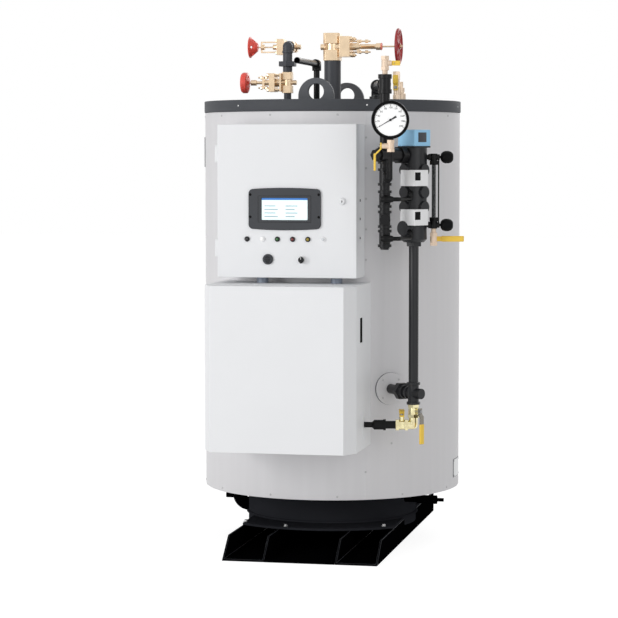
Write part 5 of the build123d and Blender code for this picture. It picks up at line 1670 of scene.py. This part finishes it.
@dataclass
class TopValves:
    """Valves and pipes that stand on the top plate."""

    wheel_nut: float = 0.011
    wheel_nut_height: float = 0.005
    wheel_washer: float = 0.0014
    washer_share: float = 0.8
    nut_sunk: float = 0.0005
    stem_reach: float = 0.006
    stem_tip: Profile = ((0.0024, 0.006), (0.0024, 0.008), (0.0016, 0.0088), (0, 0.0088))
    washer_steps: int = 24
    stem_steps: int = 16
    sleeve_slot: tuple[float, float] = (0.106, 0.156)
    sleeve_radius: float = 0.009
    slot_section: tuple[float, float] = (0.005, 0.0012)
    slot_round: float = 0.0005
    slot_drop: float = -0.001
    paint_ring: tuple[float, float, float] = (0.178, 0.1812, 0.0129)
    paint_depth: float = 0.002
    paint_steps: int = 32

    def wheel(self, node: str, body: Body, finish: Finish) -> None:
        """Shows a handwheel with its washer and nut."""
        softened(node, finish, width=1.0, body=body)
        origin, way = pivot(body)
        end = crown(node, origin, way, self.stem_reach)
        mesher = Mesher()
        place = placed(origin + way * (end - self.nut_sunk), way)
        nut = HexBolt(
            self.wheel_nut,
            self.wheel_nut_height,
            self.wheel_washer,
            self.washer_share,
            self.washer_steps,
        )
        nut.add(mesher, place)
        mesher.turn(place, self.stem_tip, self.stem_steps)
        mesher.piece(node + "_nut", body, BRONZE)

    def sleeve(self) -> None:
        """Shows the slots in the steam valve's sleeve as darker bronze, painted shade in the slots,
        and the paint on its collar.
        """
        origin, way = pivot(Body.STEAM_WHEEL)
        start, end = self.sleeve_slot
        slots = Mesher()
        for side in (-1, 1):
            shift = Vector((0, side * self.sleeve_radius, self.slot_drop))
            middle = origin + way * ((start + end) / 2) + shift
            place = placed(middle, Vector((0, side, 0)), way)
            slots.block(place, (end - start, *self.slot_section), self.slot_round)
        # The slots are filled with darker bronze, as painted shade.
        slots.piece("steam_sleeve_slot_shade", Body.BOILER, BRONZE_SLOT_SHADE)
        ring = Mesher()
        low, high, radius = self.paint_ring
        inner = radius - self.paint_depth
        profile = ((inner, low), (radius, low), (radius, high), (inner, high))
        ring.turn(placed(origin, way), profile, self.paint_steps, closed=True)
        ring.piece("steam_collar_paint", Body.BOILER, WHEEL_RED)

    def build(self) -> None:
        """Builds and dresses the top valves."""
        for node in ("steam_pipe", "feed_stack"):
            softened(node, TOP_IRON, width=1.0)
        softened("vent_pipe", TREE_IRON, width=1.0)
        for node in ("steam_gate_valve", "feed_gate_valve", "supply_gate_valve"):
            softened(node, BRONZE, width=0.6)
        softened("tree_vent_valve", PALE_BRONZE)
        for node in ("safety_valve", "bleed_valve"):
            softened(node, TOP_BRONZE)
        self.wheel("steam_wheel", Body.STEAM_WHEEL, WHEEL_DARK_RED)
        self.wheel("feed_wheel", Body.FEED_WHEEL, WHEEL_RED)
        self.wheel("supply_wheel", Body.SUPPLY_WHEEL, WHEEL_RED)
        self.sleeve()
        GateTrim(
            "steam_valve",
            Body.STEAM_WHEEL,
            bonnet_end=0.069,
            bolt_spread=0.029,
            bolt_flats=0.0125,
            bolt_height=0.009,
            bolt_tip=0.083,
            stud_spread=0.0195,
            nuts=((0.099, 0.106), (0.12, 0.131)),
            stud_tip=0.14,
        ).build()
        GateTrim(
            "feed_valve",
            Body.FEED_WHEEL,
            bonnet_end=0.0625,
            bolt_spread=0.0265,
            bolt_flats=0.0115,
            bolt_height=0.008,
            bolt_tip=0.0727,
            stud_spread=0.0185,
            nuts=((0.0736, 0.082), (0.092, 0.1)),
            stud_tip=0.108,
            long_bolts=(0.018, 0.042),
        ).build()
        GateTrim(
            "supply_valve",
            Body.SUPPLY_WHEEL,
            bonnet_end=0.048,
            bolt_spread=0.022,
            bolt_flats=0.0085,
            bolt_height=0.005,
            bolt_tip=0.0,
        ).build()


@dataclass(frozen=True)
class Grip:
    """How a lever is dressed, with the share of its reach where the sleeve starts."""

    node: str
    body: Body
    start: float
    bare: Finish
    sleeve: bool = True


@dataclass
class Levers:
    """Yellow levers of the ball valves."""

    grips: tuple[Grip, ...] = (
        Grip("gauge_valve_lever", Body.GAUGE_LEVER, 0.3, LEVER_YELLOW),
        Grip("glass_drain_lever", Body.GLASS_LEVER, 0.26, LEVER_YELLOW),
        Grip("column_drain_lever", Body.DRAIN_LEVER, 0.38, LEVER_STEEL),
        Grip("branch_valve_lever", Body.BRANCH_LEVER, 0.34, LEVER_YELLOW),
        Grip("tree_vent_handle", Body.VENT_HANDLE, 0.3, LEVER_YELLOW, sleeve=False),
        Grip("bleed_lever", Body.BLEED_HANDLE, 0.3, LEVER_YELLOW),
    )
    nut_flats: float = 0.009
    nut_height: float = 0.0035
    nut_washer: float = 0.001
    nut_washer_share: float = 0.7
    nut_sunk: float = 0.0004
    washer_steps: int = 20
    sleeve_wall: float = 0.0013
    sleeve_gap: float = 0.0002
    sleeve_round: float = 0.38
    sleeve_segments: int = 3
    far_share: float = 0.85

    def nut(self, grip: Grip) -> None:
        """Shows the nut that holds a lever on its stem."""
        origin, way = pivot(grip.body)
        middle = sum(points_of(grip.node), Vector()) / len(points_of(grip.node))
        if (middle - origin).dot(way) < 0:
            way = -way
        end = crown(grip.node, origin, way, self.nut_flats)
        mesher = Mesher()
        nut = HexBolt(
            self.nut_flats,
            self.nut_height,
            self.nut_washer,
            self.nut_washer_share,
            self.washer_steps,
        )
        nut.add(mesher, placed(origin + way * (end - self.nut_sunk), way))
        mesher.piece(grip.node + "_nut", grip.body, SCREW_ZINC)

    def sleeve(self, grip: Grip) -> None:
        """Shows the plastic sleeve on a lever's far part."""
        origin, axis = pivot(grip.body)
        points = [point - origin for point in points_of(grip.node)]
        flat = [point - axis * point.dot(axis) for point in points]
        along = max(flat, key=lambda point: point.length).normalized()
        reach = max(point.dot(along) for point in points)
        across = axis.cross(along)
        sides = [p.dot(across) for p in points if p.dot(along) > reach * self.far_share]
        middle = (min(sides) + max(sides)) / 2
        along = (along * reach + across * middle).normalized()
        reach = max(point.dot(along) for point in points)
        across = axis.cross(along)
        far = [point for point in points if point.dot(along) > reach * self.far_share]
        sides = [point.dot(across) for point in far]
        rises = [point.dot(axis) for point in far]
        wall = self.sleeve_wall
        start = reach * grip.start
        end = reach - self.sleeve_gap
        wide = max(sides) - min(sides) + 2 * wall
        thick = max(rises) - min(rises) + 2 * wall
        size = (end - start, wide, thick)
        spot = origin + along * ((start + end) / 2)
        spot += across * ((max(sides) + min(sides)) / 2) + axis * ((max(rises) + min(rises)) / 2)
        mesher = Mesher()
        soft = min(size) * self.sleeve_round
        mesher.block(placed(spot, axis, along), size, soft, self.sleeve_segments)
        mesher.piece(grip.node + "_sleeve", grip.body, LEVER_YELLOW)

    def build(self) -> None:
        """Builds and dresses the levers."""
        for grip in self.grips:
            softened(grip.node, grip.bare, width=1.0, body=grip.body)
            self.nut(grip)
            if grip.sleeve:
                self.sleeve(grip)


@dataclass
class Studio:
    """Pale floor, soft lights, white surroundings and the camera.

    Each light has its name, place, side and watts.
    """

    floor_size: float = 60.0
    camera_turn: float = 11.2
    camera_distance: float = 8.418
    camera_height: float = 1.378
    aim_left: float = 0.0852
    pitch: float = 3.8
    lens_mm: float = 135.03
    sensor_mm: float = 36.0
    ambient: float = 0.46
    floor_white: float = 0.88
    floor_shade: float = 0.32
    floor_colour: float = 0.9
    floor_roughness: float = 0.9
    clip_end: float = 200.0
    light_aim: float = 0.9
    lights: tuple[tuple[str, tuple[float, float, float], float, float], ...] = (
        ("key_light", (-5.2, -6.4, 1.9), 4.0, 262.0),
        ("fill_light", (4.4, -5.2, 2.4), 4.0, 62.0),
        ("back_light", (1.0, 5.0, 3.5), 3.0, 80.0),
    )

    def camera(self) -> None:
        """Places the camera at the photograph's viewing angle."""
        turn = radians(self.camera_turn)
        sideways = Vector((cos(turn), sin(turn), 0))
        eye = heading(self.camera_turn) * self.camera_distance + Vector((0, 0, self.camera_height))
        aim = Vector((0, 0, self.camera_height)) - sideways * self.aim_left
        ahead = (aim - eye).normalized()
        ahead = ahead * cos(radians(self.pitch)) - UP * sin(radians(self.pitch))
        data = bpy.data.cameras.new("camera")
        data.lens = self.lens_mm
        data.sensor_width = self.sensor_mm
        data.clip_end = self.clip_end
        camera = bpy.data.objects.new("camera", data)
        camera.location = eye
        camera.rotation_euler = ahead.to_track_quat("-Z", "Y").to_euler()
        bpy.context.scene.collection.objects.link(camera)
        bpy.context.scene.camera = camera

    @staticmethod
    def _seen(tree: bpy.types.NodeTree) -> bpy.types.NodeSocket:
        """Adds the sum of camera, glossy and transmission rays.

        Args:
            tree: Node tree of the floor or the world.

        Returns:
            A socket that is 1 for those rays and 0 for the rest.
        """
        path = tree.nodes.new("ShaderNodeLightPath")
        first = tree.nodes.new("ShaderNodeMath")
        first.operation = "MAXIMUM"
        tree.links.new(path.outputs["Is Camera Ray"], first.inputs[0])
        tree.links.new(path.outputs["Is Glossy Ray"], first.inputs[1])
        second = tree.nodes.new("ShaderNodeMath")
        second.operation = "MAXIMUM"
        tree.links.new(first.outputs[0], second.inputs[0])
        tree.links.new(path.outputs["Is Transmission Ray"], second.inputs[1])
        return second.outputs[0]

    def world(self) -> None:
        """Lights the scene evenly, with white where it is seen directly."""
        world = bpy.data.worlds.new("studio")
        bpy.context.scene.world = world
        world.use_nodes = True
        tree = world.node_tree
        lit = tree.nodes["Background"]
        lit.inputs["Color"].default_value = (1, 1, 1, 1)
        lit.inputs["Strength"].default_value = self.ambient
        white = tree.nodes.new("ShaderNodeBackground")
        white.inputs["Color"].default_value = (1, 1, 1, 1)
        white.inputs["Strength"].default_value = 1.0
        mix = tree.nodes.new("ShaderNodeMixShader")
        tree.links.new(self._seen(tree), mix.inputs["Fac"])
        tree.links.new(lit.outputs["Background"], mix.inputs[1])
        tree.links.new(white.outputs["Background"], mix.inputs[2])
        tree.links.new(mix.outputs["Shader"], tree.nodes["World Output"].inputs["Surface"])

    def floor(self) -> None:
        """Lays a plain pale floor that keeps the boiler's shadow."""
        mesher = Mesher()
        half = self.floor_size / 2
        corners = ((-half, -half), (half, -half), (half, half), (-half, half))
        mesher.mesh.faces.new([mesher.mesh.verts.new((x, y, 0)) for x, y in corners])
        data = bpy.data.meshes.new("floor")
        mesher.mesh.to_mesh(data)
        mesher.mesh.free()
        material = bpy.data.materials.new("floor_pale")
        material.use_nodes = True
        tree = material.node_tree
        surface = tree.nodes["Principled BSDF"]
        tone, shade_tone = self.floor_colour, self.floor_shade
        surface.inputs["Base Color"].default_value = (tone, tone, tone, 1)
        surface.inputs["Roughness"].default_value = self.floor_roughness
        surface.inputs["Specular IOR Level"].default_value = 0.0
        shaded = tree.nodes.new("ShaderNodeBsdfDiffuse")
        shaded.inputs["Color"].default_value = (shade_tone, shade_tone, shade_tone, 1)
        white = tree.nodes.new("ShaderNodeEmission")
        white.inputs["Strength"].default_value = self.floor_white
        pale = tree.nodes.new("ShaderNodeAddShader")
        tree.links.new(shaded.outputs["BSDF"], pale.inputs[0])
        tree.links.new(white.outputs["Emission"], pale.inputs[1])
        mix = tree.nodes.new("ShaderNodeMixShader")
        tree.links.new(self._seen(tree), mix.inputs["Fac"])
        tree.links.new(surface.outputs["BSDF"], mix.inputs[1])
        tree.links.new(pale.outputs["Shader"], mix.inputs[2])
        tree.links.new(mix.outputs["Shader"], tree.nodes["Material Output"].inputs["Surface"])
        data.materials.append(material)
        floor = bpy.data.objects.new("floor", data)
        bpy.context.scene.collection.objects.link(floor)

    def light(self, name: str, place: Vector, aim: Vector, size: float, watts: float) -> None:
        """Hangs a soft square light.

        Args:
            name: Name of the light.
            place: Where it hangs.
            aim: Point that it looks at.
            size: Its side.
            watts: Its power.
        """
        data = bpy.data.lights.new(name, "AREA")
        data.energy = watts
        data.size = size
        lamp = bpy.data.objects.new(name, data)
        lamp.location = place
        lamp.rotation_euler = (aim - place).to_track_quat("-Z", "Y").to_euler()
        bpy.context.scene.collection.objects.link(lamp)

    def build(self) -> None:
        """Sets up the studio."""
        bpy.context.scene.view_settings.view_transform = "Standard"
        self.world()
        self.floor()
        aim = Vector((0, 0, self.light_aim))
        for name, place, size, watts in self.lights:
            self.light(name, Vector(place), aim, size, watts)
        self.camera()


def main() -> None:
    """Builds the boiler's pieces and the studio, and logs each piece as it is made."""
    logging.basicConfig(level=logging.INFO, format="%(name)s %(message)s")
    assemblies = (Shell, Skid, Panel, BurnerCover, WaterTrim, TopValves, Levers, Studio)
    for assembly in assemblies:
        log.info("building %s", assembly.__name__)
        assembly().build()
    bpy.context.view_layer.update()


if __name__ == "__main__":
    main()
